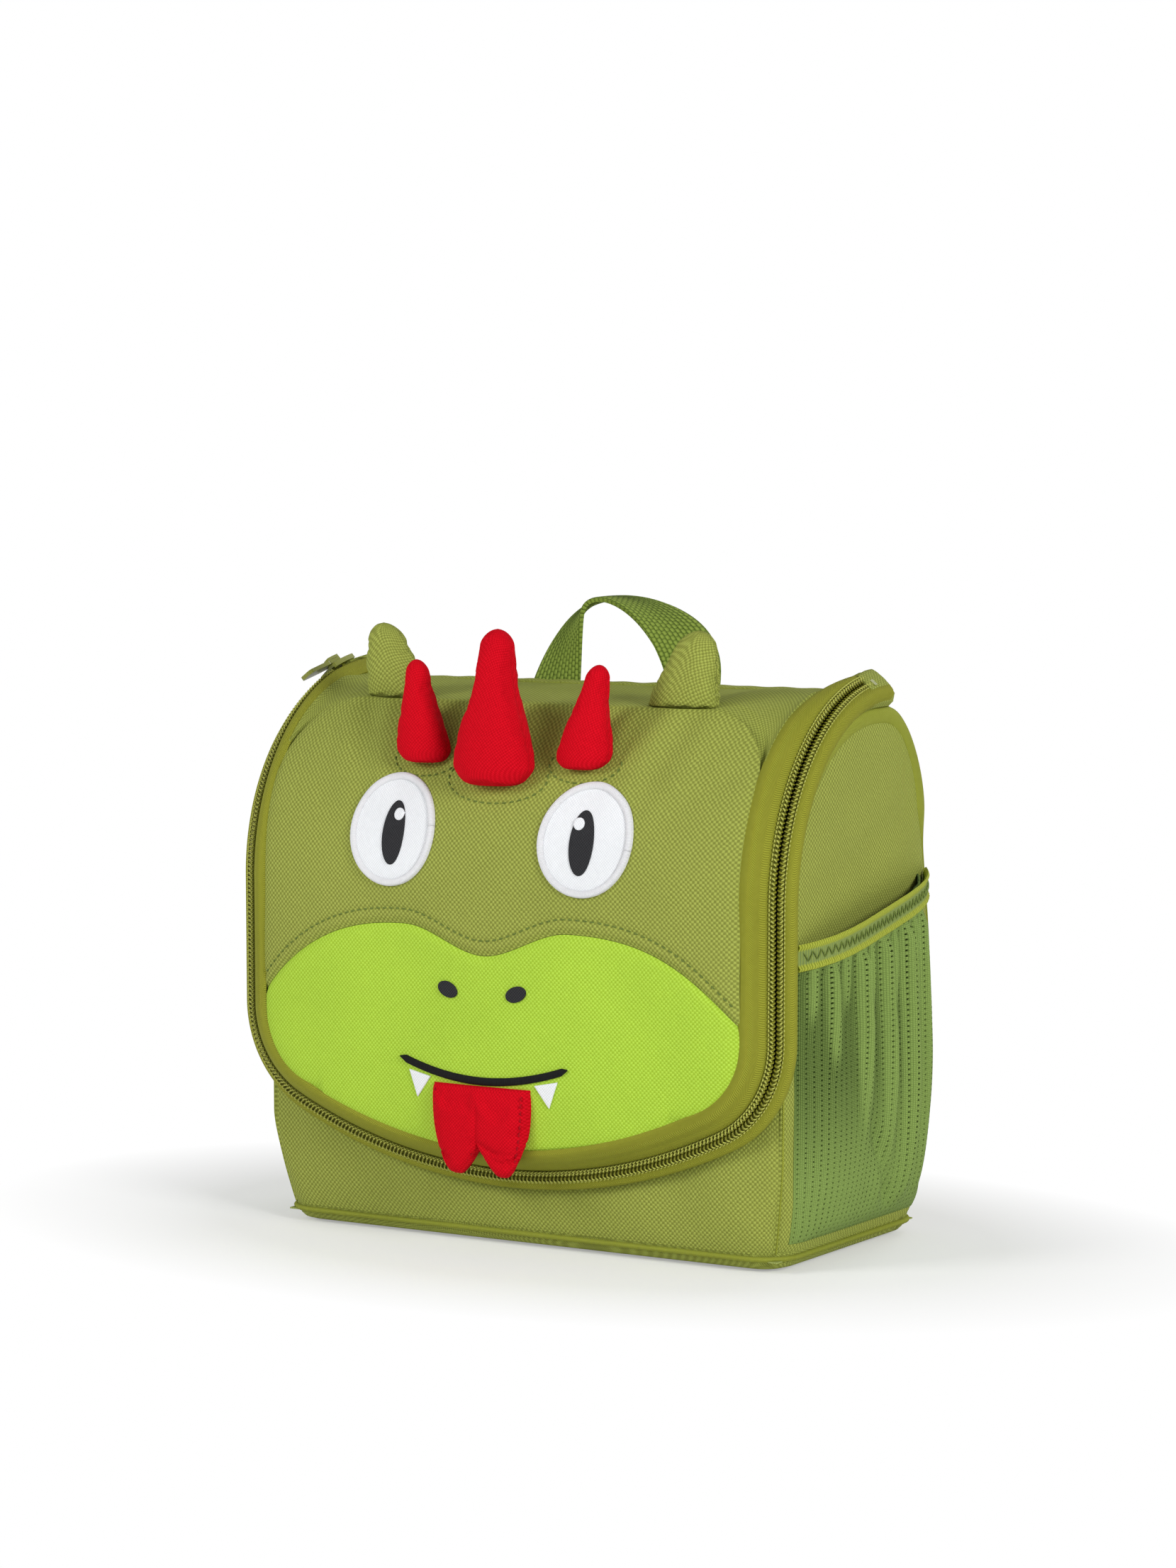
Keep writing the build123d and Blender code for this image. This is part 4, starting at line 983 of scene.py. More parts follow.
line, inward = side_loop(0.4)
arc = ease(line[:, 1], 112, 128) * np.where(line[:, 0] > 0, ease(line[:, 1], 132, 150), 1)
wide, tall = 0.8 + 5.4 * arc, 0.6 + 1.9 * arc
for side, word in ((1, "right"), (-1, "left")):
    middle = line + inward * (wide / 2)[:, None]
    centres = np.concatenate([side * (101.7 + 0.5 * arc)[:, None], middle], 1)
    first = np.concatenate([np.zeros((len(line), 1)), inward], 1)
    second = np.broadcast_to([side * 1.0, 0, 0], first.shape)
    section = oval(1, 1, 14)[None] * np.stack([wide, tall], 1)[:, None]
    section[..., 1] = np.where(section[..., 1] > 0, section[..., 1] * 1.5, section[..., 1] * 0.8)
    made = ringed_piece(f"binding_{word}", carried(centres, first, second, section))
    dress(made, binding_cloth, "binding", "bag_body", f"edge_binding_{word}")
    print(made.name, "has", len(made.data.vertices), "points")

# %% [markdown]
# ## The zip
# A coil zip is two nylon helices, each sewn along a woven tape, whose turns lock in the slider's wake.
# Here it starts on the left shoulder, runs down, round under the chin and up again. Each station on that
# line has a centre, an outward and a forward direction, so tapes, coils, cords and thread share one route.

# %% The zip's stations
def zip_line(left, right, step):
    """Centres, outward and forward directions and the run along the zip, from left shoulder to right."""
    stretches = []

    def add(centre, out, ahead):
        """Add a stretch, from a number or a row of numbers for each part."""
        stretches.append(np.stack(np.broadcast_arrays(*centre, *out, *ahead), 1))

    def shoulder(side, degrees):
        c, s = np.cos(np.radians(degrees)), np.sin(np.radians(degrees))
        add((side * ZIP_X, SHOULDER_Y + SHOULDER_R * c, SHOULDER_Z + SHOULDER_R * s), (side, 0, 0), (0, c, s))

    def upright(side, heights):
        add((side * ZIP_X, ZIP_Y, heights), (side, 0, 0), (0, -1, 0))

    def bend(x, z, radius, low, high):
        degrees = np.linspace(low, high, 70)[1:]
        c, s = np.cos(np.radians(degrees)), np.sin(np.radians(degrees))
        add((x + radius * c, ZIP_Y, z + radius * s), (c, 0, s), (0, -1, 0))

    lean = math.degrees(LEAN)
    shoulder(-1, np.linspace(left, 180, 60))
    upright(-1, np.linspace(SHOULDER_Z, CORNER_Z, 30)[1:])
    bend(-CORNER_X, CORNER_Z, CORNER_R, 180, 180 + lean)
    bend(0, BOW_Z, BOW_R, lean - 180, -lean)
    bend(CORNER_X, CORNER_Z, CORNER_R, -lean, 0)
    upright(1, np.linspace(CORNER_Z, SHOULDER_Z, 30)[1:])
    shoulder(1, np.linspace(180, right, 60)[1:])
    whole = np.concatenate(stretches)
    run = run_of(whole[:, :3])
    at = np.linspace(0, run[-1], int(run[-1] / step))
    taken = read_at(at, run, whole)
    return taken[:, :3], unit(taken[:, 3:6]), unit(taken[:, 6:]), at


CHAIN_TILT = math.radians(40)


def tilted(across, proud):
    """Outward and forward offsets for a place across the tilted chain."""
    c, s = math.cos(CHAIN_TILT), math.sin(CHAIN_TILT)
    return across * c + proud * s, -across * s + proud * c


PARK, ZIP_END, TAPE_END, COIL_PITCH = 108.5, 98.0, 90.5, 1.5
at = zip_line(ZIP_END, ZIP_END, 0.75)[3]
print("the zip is", round(at[-1]), "mm long")

# %% Coils, cores and their thread
def at_offsets(line, u, v):
    """Points beside the zip's line at outward and forward offsets."""
    return line[0] + line[1] * np.reshape(u, (-1, 1)) + line[2] * np.reshape(v, (-1, 1))


def coil_half(name, side, left, body, node):
    """One half of the zip: helix, cord inside it and the chain stitch that holds it."""
    line = zip_line(left, ZIP_END, COIL_PITCH / 8)
    turns = line[3] * 2 * np.pi / COIL_PITCH
    u, v = tilted(side * (1.3 + 0.95 * np.cos(turns)), 0.78 * np.sin(turns))
    path = at_offsets(line, u, v)
    way = unit(np.gradient(path, axis=0))
    first = unit(np.cross(way, line[2]))
    helix = ringed_piece(f"{name}_helix", carried(path, first, np.cross(way, first), oval(0.62, 0.62, 5)))
    dress(helix, coil_plastic, "zip_coil", body, node)
    line = zip_line(left, ZIP_END, COIL_PITCH)
    cord = ((0.4, -0.45), (2.3, -0.6), (2.6, 0.0), (2.2, 0.45), (0.8, 0.3))
    corners = np.array([tilted(side * across, proud) for across, proud in cord])
    core = ringed_piece(f"{name}_core", carried(*line[:3], corners))
    dress(core, dark_core, "zip_coil", body)
    starts = at_offsets(line, *tilted(side * 1.0, 0.95))
    ends = at_offsets(line, *tilted(side * 2.1, 0.95))
    step = np.gradient(line[0], axis=0)
    starts, ends = starts - step * 0.32, ends + step * 0.32
    up = at_offsets(line, *tilted(0, 1.0)) - line[0]
    thread = thread_piece(f"{name}_stitch", starts[:-1], ends[:-1], up[:-1], 0.27, 0.25)
    dress(thread, pale_thread, "zip_coil", body)
    beside = at_offsets(line, *tilted(side * 2.55, 0.6))
    row = running_stitch(f"{name}_row", beside, up, COIL_PITCH, 0.85, 0.24)
    dress(row, pale_thread, "zip_coil", body)
    return helix


half = coil_half("coil_body", 1, ZIP_END, "bag_body", "zip_coil_body")
coil_half("coil_flap", -1, PARK, "flap", "zip_coil_flap")
print("one coil half has", len(half.data.vertices), "points")

# %% Tapes either side of the chain
def smooth_section(corners, count):
    """A soft curve near the corners given, as a grid of count points for each station."""
    knots = np.array(corners, float)
    t = np.linspace(0, 1, count)
    n = len(knots) - 1
    weights = np.array([[math.comb(n, k) * (1 - a) ** (n - k) * a**k for k in range(n + 1)] for a in t])
    return np.tensordot(weights, knots, (1, 0)).swapaxes(0, 1)


TAPE_THICK, TAPE_STEP = 0.8, 1.2
line = zip_line(TAPE_END, TAPE_END, TAPE_STEP)
across_tape = (tilted(2.6, -0.1), tilted(4.6, 0.4), (6.6, -3.6), (4.4, -8.0), (-3.6, -9.0))
corners = [np.broadcast_to(v, (len(line[0]), 2)) for v in across_tape]
grid = carried(*line[:3], smooth_section(corners, 15))
tape = sheet_piece("tape_body", grid, TAPE_THICK, FORWARD, flat_places(grid))
dress(tape, zip_tape, "zip_tape", "bag_body", "zip_tape_body")


def flap_rise(line):
    """How far the flap's seam stands ahead of the zip at each station."""
    centre, out = line[0], line[1]
    angle = np.degrees(np.arctan2(centre[:, 2] - SHOULDER_Z, centre[:, 1] - SHOULDER_Y)) % 360
    low = ZIP_Y - face_plain(centre[:, 0] - TAPE_REACH * out[:, 0], 50.0)
    return np.where(centre[:, 2] > SHOULDER_Z, shoulder_rise(angle), low)


line = zip_line(TAPE_END + 1, TAPE_END, TAPE_STEP)
rise = flap_rise(line)
stations = (len(rise), 2)
tucked = ease(line[0][:, 2], 178, 188)
corners = [
    np.broadcast_to(tilted(-2.6, -0.1), stations),
    np.broadcast_to(tilted(-4.2, 0.5), stations),
    np.stack([np.full_like(rise, -6.0), rise * 0.75 + 1.2], 1),
    np.stack([np.full_like(rise, -7.6), rise + 1.0], 1),
    np.stack([-10.3 - 0.8 * tucked, rise - 0.5 - 1.2 * tucked], 1),
]
grid = carried(*line[:3], smooth_section(corners, 11))
tape = sheet_piece("tape_flap", grid, TAPE_THICK, FORWARD, flat_places(grid))
dress(tape, zip_tape, "zip_tape", "flap", "zip_tape_flap")
print("tapes follow", len(line[0]), "stations")

# %% [markdown]
# ## Eyes, nostrils, mouth and teeth
# Each patch is a flat shape laid on the soft face. Rings of points shrink from the outline to its middle, and
# each point stands forward of the face by the patch's height. The height falls off at the rim like a
# turned edge. A satin-stitched rim is the same thing as a ring, with its threads laid across.

# %% Places on the face
def face_ups(x, z):
    """The face's forward direction at a place."""
    step = 0.6
    slope_x = (face_soft(x + step, z) - face_soft(x - step, z)) / (2 * step)
    slope_z = (face_soft(x, z + step) - face_soft(x, z - step)) / (2 * step)
    return unit(np.stack([slope_x, -np.ones_like(slope_x), slope_z], -1))


def laid(x, z, height):
    """Points on the soft face, stood forward by a height."""
    x, z = np.asarray(x, float), np.asarray(z, float)
    return np.stack([x, face_soft(x, z), z], -1) + face_ups(x, z) * np.asarray(height)[..., None]


def ellipse_line(cx, cz, wide, tall, tilt, count=72):
    """An ellipse in the face's plane."""
    a = np.linspace(0, 2 * np.pi * (1 - 0.004), count)
    u, v, t = wide / 2 * np.cos(a), tall / 2 * np.sin(a), math.radians(tilt)
    return np.stack([cx + u * math.cos(t) - v * math.sin(t), cz + u * math.sin(t) + v * math.cos(t)], 1)


print("an eye's outline has", len(ellipse_line(0, 0, 31, 33, 0)), "points")


# %% Patches and rings of satin stitch
def patch(name, outline, height, base=0.0, rings=9):
    """A patch of cloth whose outline stands at base and whose top stands at height."""
    outline = np.asarray(outline, float)
    middle = outline.mean(0)
    rows, flat = [], []
    levels = [(1.0, base - 0.5), (1.0, height - 0.22), (0.985, height - 0.05)]
    levels += [(s, height) for s in np.linspace(0.955, 0.02, rings)]
    for share, level in levels:
        place = middle + (outline - middle) * share
        rows.append(laid(place[:, 0], place[:, 1], np.full(len(place), level)))
        flat.append(place)
    return ringed_piece(name, np.array(rows), cloth=np.array(flat), sharp=70)


def satin_ring(name, outer, inner, height):
    """A ring of satin stitch between two outlines, rounded over, its threads lying across."""
    rows, flat = [], []
    run = run_of(outer)
    section = [
        (0, -0.4), (0, height * 0.45), (0.12, height * 0.85), (0.35, height),
        (0.65, height), (0.88, height * 0.85), (1, height * 0.5), (1, -0.4),
    ]
    for share, level in section:
        place = outer + (inner - outer) * share
        rows.append(laid(place[:, 0], place[:, 1], np.full(len(place), level)))
        flat.append(np.stack([run, np.full(len(run), share * 2.4)], 1))
    rows, flat = np.array(rows).swapaxes(0, 1), np.array(flat).swapaxes(0, 1)
    return ringed_piece(name, rows, looped=True, cloth=flat, sharp=80)


print("patches and satin rings can be made")

# %% Eyes, nostrils and teeth
for side, word in ((1, "right"), (-1, "left")):
    white = ellipse_line(side * EYE_X, EYE_Z, 31, 33, -8 * side)
    outer = ellipse_line(side * EYE_X, EYE_Z, 35.4, 37.4, -8 * side)
    inner = ellipse_line(side * EYE_X, EYE_Z, 30.6, 32.6, -8 * side)
    dress(patch(f"eye_{word}", white, 0.75), white_cloth, "white_cloth", "flap", f"eye_white_{word}")
    rim = satin_ring(f"eye_rim_{word}_satin", outer, inner, 1.5)
    dress(rim, white_satin, "white_thread", "flap", f"eye_rim_{word}")
    slit = ellipse_line(side * (EYE_X - 1), EYE_Z - 1, 9, 21, 0)
    dress(patch(f"pupil_{word}_patch", slit, 1.2, 0.7), black_cloth, "black_cloth", "flap", f"pupil_{word}")
    spot = ellipse_line(side * (EYE_X - 2.6), EYE_Z + 5, 4, 4, 0, 32)
    dress(patch(f"glint_{word}", spot, 1.6, 1.1, 4), white_cloth, "white_cloth", "flap", f"eye_glint_{word}")
    nose = ellipse_line(side * 13.5, 90, 8, 5.2, 20 * side, 40)
    nostril = patch(f"nostril_{word}_patch", nose, 0.6, 0, 6)
    dress(nostril, black_cloth, "black_cloth", "flap", f"nostril_{word}")
    corners = np.array([(side * 20.5, 60.1), (side * 29.5, 61.9), (side * 26.0, 52.5)])
    sides = [np.linspace(corners[k], corners[(k + 1) % 3], 12, endpoint=False) for k in range(3)]
    tooth = np.concatenate(sides)
    tooth = tooth.mean(0) + (tooth - tooth.mean(0)) * 0.96
    dress(patch(f"tooth_{word}_patch", tooth, 0.6, 0, 5), white_cloth, "white_cloth", "flap", f"tooth_{word}")
print("eyes at x", EYE_X, "z", EYE_Z)

# %% The mouth's stitched line
mouth_half, mouth_z, mouth_sag, line_half = 33, 66, 6, 1.3
x = np.linspace(-mouth_half, mouth_half, 60)
z = mouth_z - mouth_sag * (1 - (x / mouth_half) ** 2)
wide = line_half * np.minimum(1, (mouth_half + 0.4 - np.abs(x)) / 2.5)
rows = []
for share, level in ((-1, -0.4), (-1, 0.5), (-0.7, 0.9), (0, 1.05), (0.7, 0.9), (1, 0.5), (1, -0.4)):
    rows.append(laid(x, z + wide * share, np.full(len(x), level)))
flat = np.stack(np.broadcast_arrays(x[:, None], np.linspace(-line_half, line_half, len(rows))[None]), 2)
mouth = ringed_piece("mouth_satin", np.array(rows).swapaxes(0, 1), cloth=flat, sharp=80)
dress(mouth, black_satin, "black_thread", "flap", "mouth_line")
print("mouth is", round(mouth.dimensions.x * 1000), "mm wide")

# %% [markdown]
# ## Stuffed pieces
# The crest's spikes, the ears and the tongue are each two cloths sewn round their edge, turned and filled.
# Rings of points cut the closed shape, with the seam line drawn in a little and small creases beside it.
# Then Blender's cloth fills it with air while its foot is held, and the result is applied to the mesh.
# No point moves further than a limit in millimetres, so that the pieces still fit the frame.

# %% Filling by cloth simulation
def filled_by_air(piece, held, pressure, most):
    """Fill a sewn piece with Blender's cloth under air pressure, and keep its moves under a limit in mm."""
    enlarged, steps, growth = 10, 20, 0.03
    count = len(piece.data.vertices)
    start = np.empty(count * 3)
    piece.data.vertices.foreach_get("co", start)
    test = bpy.data.objects.new("filling", piece.data.copy())
    bpy.context.scene.collection.objects.link(test)
    test.data.vertices.foreach_set("co", start * enlarged)
    test.vertex_groups.new(name="held").add([int(v) for v in held], 1.0, "REPLACE")
    cloth = test.modifiers.new("air", "CLOTH")
    cloth.settings.quality, cloth.settings.mass = 6, 0.3
    cloth.settings.tension_stiffness, cloth.settings.compression_stiffness = 30, 10
    cloth.settings.shear_stiffness, cloth.settings.bending_stiffness = 10, 0.15
    cloth.settings.use_pressure, cloth.settings.uniform_pressure_force = True, pressure
    cloth.settings.vertex_group_mass, cloth.settings.shrink_min = "held", -growth
    cloth.settings.effector_weights.gravity = 0
    cloth.collision_settings.use_collision = False
    for frame_number in range(1, steps + 1):
        bpy.context.scene.frame_set(frame_number)
    after = np.empty(count * 3)
    result = test.evaluated_get(bpy.context.evaluated_depsgraph_get()).to_mesh()
    result.vertices.foreach_get("co", after)
    move = (after / enlarged - start).reshape(-1, 3)
    bpy.data.objects.remove(test)
    bpy.context.scene.frame_set(1)
    size = np.linalg.norm(move, axis=1, keepdims=True)
    move *= most * MM / np.maximum(size, most * MM)
    piece.data.vertices.foreach_set("co", start + move.ravel())
    piece.data.update()
    return float(min(size.max() / MM, most))


print("cloth filling is", "on")

# %% Spikes and ears
RING_POINTS = 48


def filled_point(name, foot, tip, wide, deep, shares, blunt, seed, heel=0.16):
    """A stuffed point through rings, with a seam down each side and creases running in from it."""
    t = 0.5 - 0.5 * np.cos(np.linspace(0, np.pi, 56))
    keep = np.interp(t, np.linspace(0, 1, len(shares)), shares)
    keep = np.convolve(np.pad(keep, 3, "edge"), np.ones(7) / 7, "valid")
    ending = np.clip(1 - (1 - t) / blunt, 0, 1)
    starting = np.clip(1 - t / heel, 0, 1)
    keep = keep * np.sqrt(np.maximum(1 - ending**2, 0.002))
    keep = keep * (1 - 0.55 * (1 - np.sqrt(np.maximum(1 - starting**2, 0))))
    middle = np.array(foot) + (np.array(tip) - np.array(foot)) * t[:, None]
    a = np.linspace(0, 2 * np.pi, RING_POINTS, endpoint=False)
    c, s = np.cos(a), np.sin(a)
    seam = 1 - 0.06 * np.exp(-((np.abs(s) / 0.13) ** 2))
    folds = 1 + 0.022 * np.sin(a * 3 + seed) * np.sin(t[:, None] * 9 + seed)
    folds = folds + 0.016 * np.sin(t[:, None] * 62 + seed) * np.exp(-((np.abs(s) / 0.35) ** 2))
    x = middle[:, :1] + wide / 2 * keep[:, None] * c * seam * folds
    y = middle[:, 1:2] + deep / 2 * keep[:, None] ** 0.8 * np.sign(s) * np.abs(s) ** 0.85 * folds
    return ringed_piece(name, np.stack([x, y, np.broadcast_to(middle[:, 2:], x.shape)], 2), sharp=80)


SPIKE_WIDTHS = (0.96, 1.0, 0.90, 0.76, 0.60, 0.47, 0.34)
EAR_WIDTHS = (1, 1.0, 0.93, 0.82, 0.68, 0.56, 0.46)
y = float(face_plain(0.0, 159.0))
foot, tip = (0, y - 4.0, 158.5), (0, y - 0.5, 209.5)
spike = filled_point("crest_middle", foot, tip, 30, 16, SPIKE_WIDTHS, 0.10, 1.0)
dress(spike, red_cloth, "red_cloth", "flap", "crest_spike_middle")
print(spike.name, "moved up to", round(filled_by_air(spike, range(RING_POINTS), 2.5, 1.6), 2), "mm")
for side, word in ((1, "right"), (-1, "left")):
    y = float(face_plain(31.0, 165.0))
    foot, tip = (side * 31, y - 2.6, 164.6), (side * 36, y + 0.4, 198.4)
    spike = filled_point(f"crest_{word}", foot, tip, 20, 11, SPIKE_WIDTHS, 0.12, 2.0 + side)
    dress(spike, red_cloth, "red_cloth", "flap", f"crest_spike_{word}")
    print(spike.name, "moved up to", round(filled_by_air(spike, range(RING_POINTS), 2.5, 1.2), 2), "mm")
    y = float(face_plain(56.0, FACE_TOP)) + 6
    foot, tip = (side * 56, y, 184.4), (side * 62.5, y - 1, 209.6)
    ear = filled_point(f"ear_{word}_soft", foot, tip, 26.0, 9.8, EAR_WIDTHS, 0.22, 4.0 + side, 0.01)
    dress(ear, green_cloth, "green_cloth", "flap", f"ear_{word}")
    print(ear.name, "moved up to", round(filled_by_air(ear, range(2 * RING_POINTS), 2.5, 1.4), 2), "mm")
print("crest and ears reach", round(spike.dimensions.z * 1000), "and", round(ear.dimensions.z * 1000), "mm")

# %% The tongue
across_count, down_count = 61, 46
u, v = np.meshgrid(np.linspace(-1, 1, across_count), np.linspace(0, 1, down_count))
fork = 9.0 * np.maximum(0, 1 - np.abs(u) / 0.5) ** 1.4 + 6.5 * np.maximum(0, (np.abs(u) - 0.62) / 0.38) ** 2.2
x = 19.0 * u * (1 - 0.22 * v**3)
z = 58.3 - v * (30.0 - fork)
crown = (1 - np.abs(u) ** 5) ** 0.5 * (1 - v**7) ** 0.5 * (1 - 0.6 * np.exp(-v / 0.05))
crease = 0.7 * np.exp(-((u / 0.05) ** 2)) * ease(v, 0.1, 0.5)
back_y = face_plain(x, z) - 1.35
front_y = back_y - 0.5 - 4.1 * crown + crease * crown - 0.12 * uneven(x, z, 9, 61) * crown
rows = np.concatenate([np.stack([x, front_y, z], 2), np.stack([x, back_y, z], 2)[:, ::-1]], 1)
flat = np.concatenate([np.stack([x, z], 2), np.stack([x, z], 2)[:, ::-1]], 1)
tongue = ringed_piece("tongue_soft", rows, cloth=flat, sharp=80)
dress(tongue, red_cloth, "red_cloth", "tongue", "tongue_tab")
root = range(4 * across_count)
print(tongue.name, "moved up to", round(filled_by_air(tongue, root, 1.5, 0.8), 2), "mm")
edge_u = np.concatenate([np.full(30, -0.9), np.linspace(-0.9, 0.9, 60), np.full(30, 0.9)])
edge_v = np.concatenate([np.linspace(0.04, 0.93, 30), np.full(60, 0.93), np.linspace(0.93, 0.04, 30)])
down = np.round(edge_v * (down_count - 1)).astype(int)
over = np.round((edge_u + 1) / 2 * (across_count - 1)).astype(int)
path = np.stack([x[down, over], front_y[down, over] - 0.05, z[down, over]], 1)
row = running_stitch("tongue_stitch", path, FORWARD, 2.4, 0.7, 0.2)
dress(row, red_thread, "red_cloth", "tongue")
print("tongue hangs", round(tongue.dimensions.z * 1000), "mm")

# %% [markdown]
# ## Topstitching on the flap
# Two kinds of row show on the face: one that holds the muzzle seam's turning, five millimetres above it,
# and one round the foot of each spike, where the spike's base is sewn through the face.

# %% Rows on the face
x = np.linspace(-93, 93, 240)
z = muzzle_seam(x) + 5.0
rows = [("muzzle_row", x, z)]
crest_rows = [
    ("crest_row_middle", 0, 160.5, 19.5, 8),
    ("crest_row_right", 31.3, 166, 13.5, 6),
    ("crest_row_left", -31.3, 166, 13.5, 6),
]
a = np.radians(np.linspace(160, 380, 60))
for label, cx, cz, wide, tall in crest_rows:
    rows.append((label, cx + wide * np.cos(a), cz + tall * np.sin(a)))
for label, x, z in rows:
    made = running_stitch(label, laid(x, z, np.zeros(len(x))), face_ups(x, z), 2.7, 0.72, 0.24)
    dress(made, sewing_thread, "green_cloth", "flap")
print("topstitch rows:", len(rows))

# %% [markdown]
# ## The gathered mesh pockets
# The pocket is a rectangle of knitted mesh, wider than the side it covers. It is sewn flat at the foot and
# gathered into a short elastic at the top, so deep folds start under the band and die out lower down.
# The holes are real openings: each cell of the grid is a ring of faces round an eight-sided hole.

# %% The pocket's surface
POCKET_Y, POCKET_Z, BAND = 45.5, 9.5, 9.0


def pocket_top(y):
    """The pocket's sloping top edge, lower at the front."""
    return 109.0 + 18.0 * (y + POCKET_Y) / (2 * POCKET_Y)


FOLDS = (
    (-39, 2.2, 2.2, 0.38), (-31.5, 2.4, 3.4, 0.55), (-24, 2.2, 2.4, 0.35), (-15.5, 2.8, 4.8, 0.85),
    (-8, 2.0, 2.6, 0.45), (0.5, 2.8, 4.8, 1.1), (8, 2.0, 2.8, 0.5), (16, 3.0, 5.2, 1.4),
    (24.5, 2.2, 3.2, 0.65), (32, 2.8, 4.6, 1.25), (39.5, 2.0, 2.9, 0.85),
)


def gathers(y, height):
    """Folds that start under the band and die out lower down, each at its own place and length."""
    total = 0.0
    for place, wide, tall, length in FOLDS:
        line = place + 3.0 * np.sin((1 - height) * 3.0 + place * 0.4) * (1 - height)
        spread = wide * (1 + 0.9 * (1 - height))
        fade = ease(height, 1 - length, 1 - length * 0.35)
        total = total + tall * np.exp(-(((y - line) / spread) ** 2)) * fade
    small = 0.45 * np.sin(y * 1.9 + 0.6 * np.sin(y * 0.4)) * ease(height, 0.80, 0.97)
    return total + small - 1.9


def pocket_out(y, z, fold=1.0):
    """How far the pocket's cloth stands off the middle of the bag."""
    across = np.maximum(0, 1 - np.abs(y / POCKET_Y) ** 4)
    low = 1 - np.exp(-np.maximum(0, z - POCKET_Z) / 7)
    high = 1 - 0.12 * np.clip((z / 127 - 0.63) * 3.2, 0, 1)
    height = np.clip((z - POCKET_Z) / (pocket_top(y) - POCKET_Z), 0, 1)
    fixed = np.maximum(0, 1 - np.abs(y / POCKET_Y) ** 10) * ease(height, 0.0, 0.12)
    fixed = fixed * (1 - 0.88 * ease(height, 0.86, 0.925))
    slack = 1.6 * np.exp(-(((z - 48) / 34) ** 2)) * across
    tug = 2.0 * np.exp(-(((y - 4 + (z - 24) * 0.55) / 3.2) ** 2)) * ease(z, 10, 20) * (1 - ease(z, 34, 58))
    return 102.3 + 10.0 * across * low * high + slack + fold * fixed * (gathers(y, height) - tug)


print("the pocket's middle stands out to x", round(float(pocket_out(0.0, 60.0)), 1))


# %% The knit, cell by cell
def mesh_pocket(name, side):
    """The knit with its holes, built cell by cell and given thickness."""
    across, up = 33, 60
    cell_wide, cell_tall, thickness = 3.5, 1.85, 1.0
    ring = [(1, 0), (1, 1), (0, 1), (-1, 1), (-1, 0), (-1, -1), (0, -1), (1, -1)]
    wide, tall = 0.31, 0.42
    hole = [(math.cos(k * math.pi / 4) * wide, math.sin(k * math.pi / 4) * tall) for k in range(8)]
    corner_ids, places, faces = {}, [], []

    def at(a, b):
        key = (round(a * 4), round(b * 4))
        if key not in corner_ids:
            corner_ids[key] = len(places)
            places.append((a, b))
        return corner_ids[key]

    for i in range(across):
        for j in range(up):
            ca, cb = i + 0.5, j + 0.5
            outer = [at(ca + p * 0.5, cb + q * 0.5) for p, q in ring]
            first = len(places)
            places.extend((ca + p * 0.5, cb + q * 0.5) for p, q in hole)
            faces += [[outer[k], outer[(k + 1) % 8], first + (k + 1) % 8, first + k] for k in range(8)]
    places = np.array(places)
    y = -POCKET_Y + 2 * POCKET_Y * places[:, 0] / across
    z = POCKET_Z + (pocket_top(y) - 1.5 - POCKET_Z) * places[:, 1] / up
    outer = np.stack([side * pocket_out(y, z), y, z], 1)
    inner = outer - np.array([side * thickness, 0, 0])
    n = len(places)
    edges = {}
    for f in faces:
        for a, b in zip(f, f[1:] + f[:1]):
            edges[(a, b)] = edges.get((a, b), 0) + 1
    rim = [(a, b) for (a, b) in edges if (b, a) not in edges]
    every = faces + [[v + n for v in reversed(f)] for f in faces] + [[b, a, a + n, b + n] for a, b in rim]
    height = np.clip((z - POCKET_Z) / (pocket_top(y) - POCKET_Z), 0, 1)
    # Painted shade in the folds' valleys: this raises the third part of "cloth", so the knit there is painted
    # darker.
    painted_fold_shade = ease(-gathers(y, height), 0.2, 1.5) * ease(height, 0.15, 0.6)
    flat = np.stack([places[:, 0] * cell_wide, places[:, 1] * cell_tall, 0.75 * painted_fold_shade], 1)
    # The inner side gets still more painted shade, so the holes' walls between the two sides are painted
    # darker.
    both = np.concatenate([flat, flat + [0, 0, 1.4]])
    return new_piece(name, np.concatenate([outer, inner]), every, both, 80)


for side, word in ((1, "right"), (-1, "left")):
    pocket = mesh_pocket(f"pocket_{word}", side)
    dress(pocket, knit, "mesh", "bag_body", f"mesh_pocket_{word}")
    print(pocket.name, "has", len(pocket.data.polygons), "faces")

# %% [markdown]
# ### The elastic band
# A woven elastic binds the pocket's top. Its two edges are rolled, its middle is thinner, and a zigzag
# stitch crosses the middle so that the seam can stretch with the elastic.

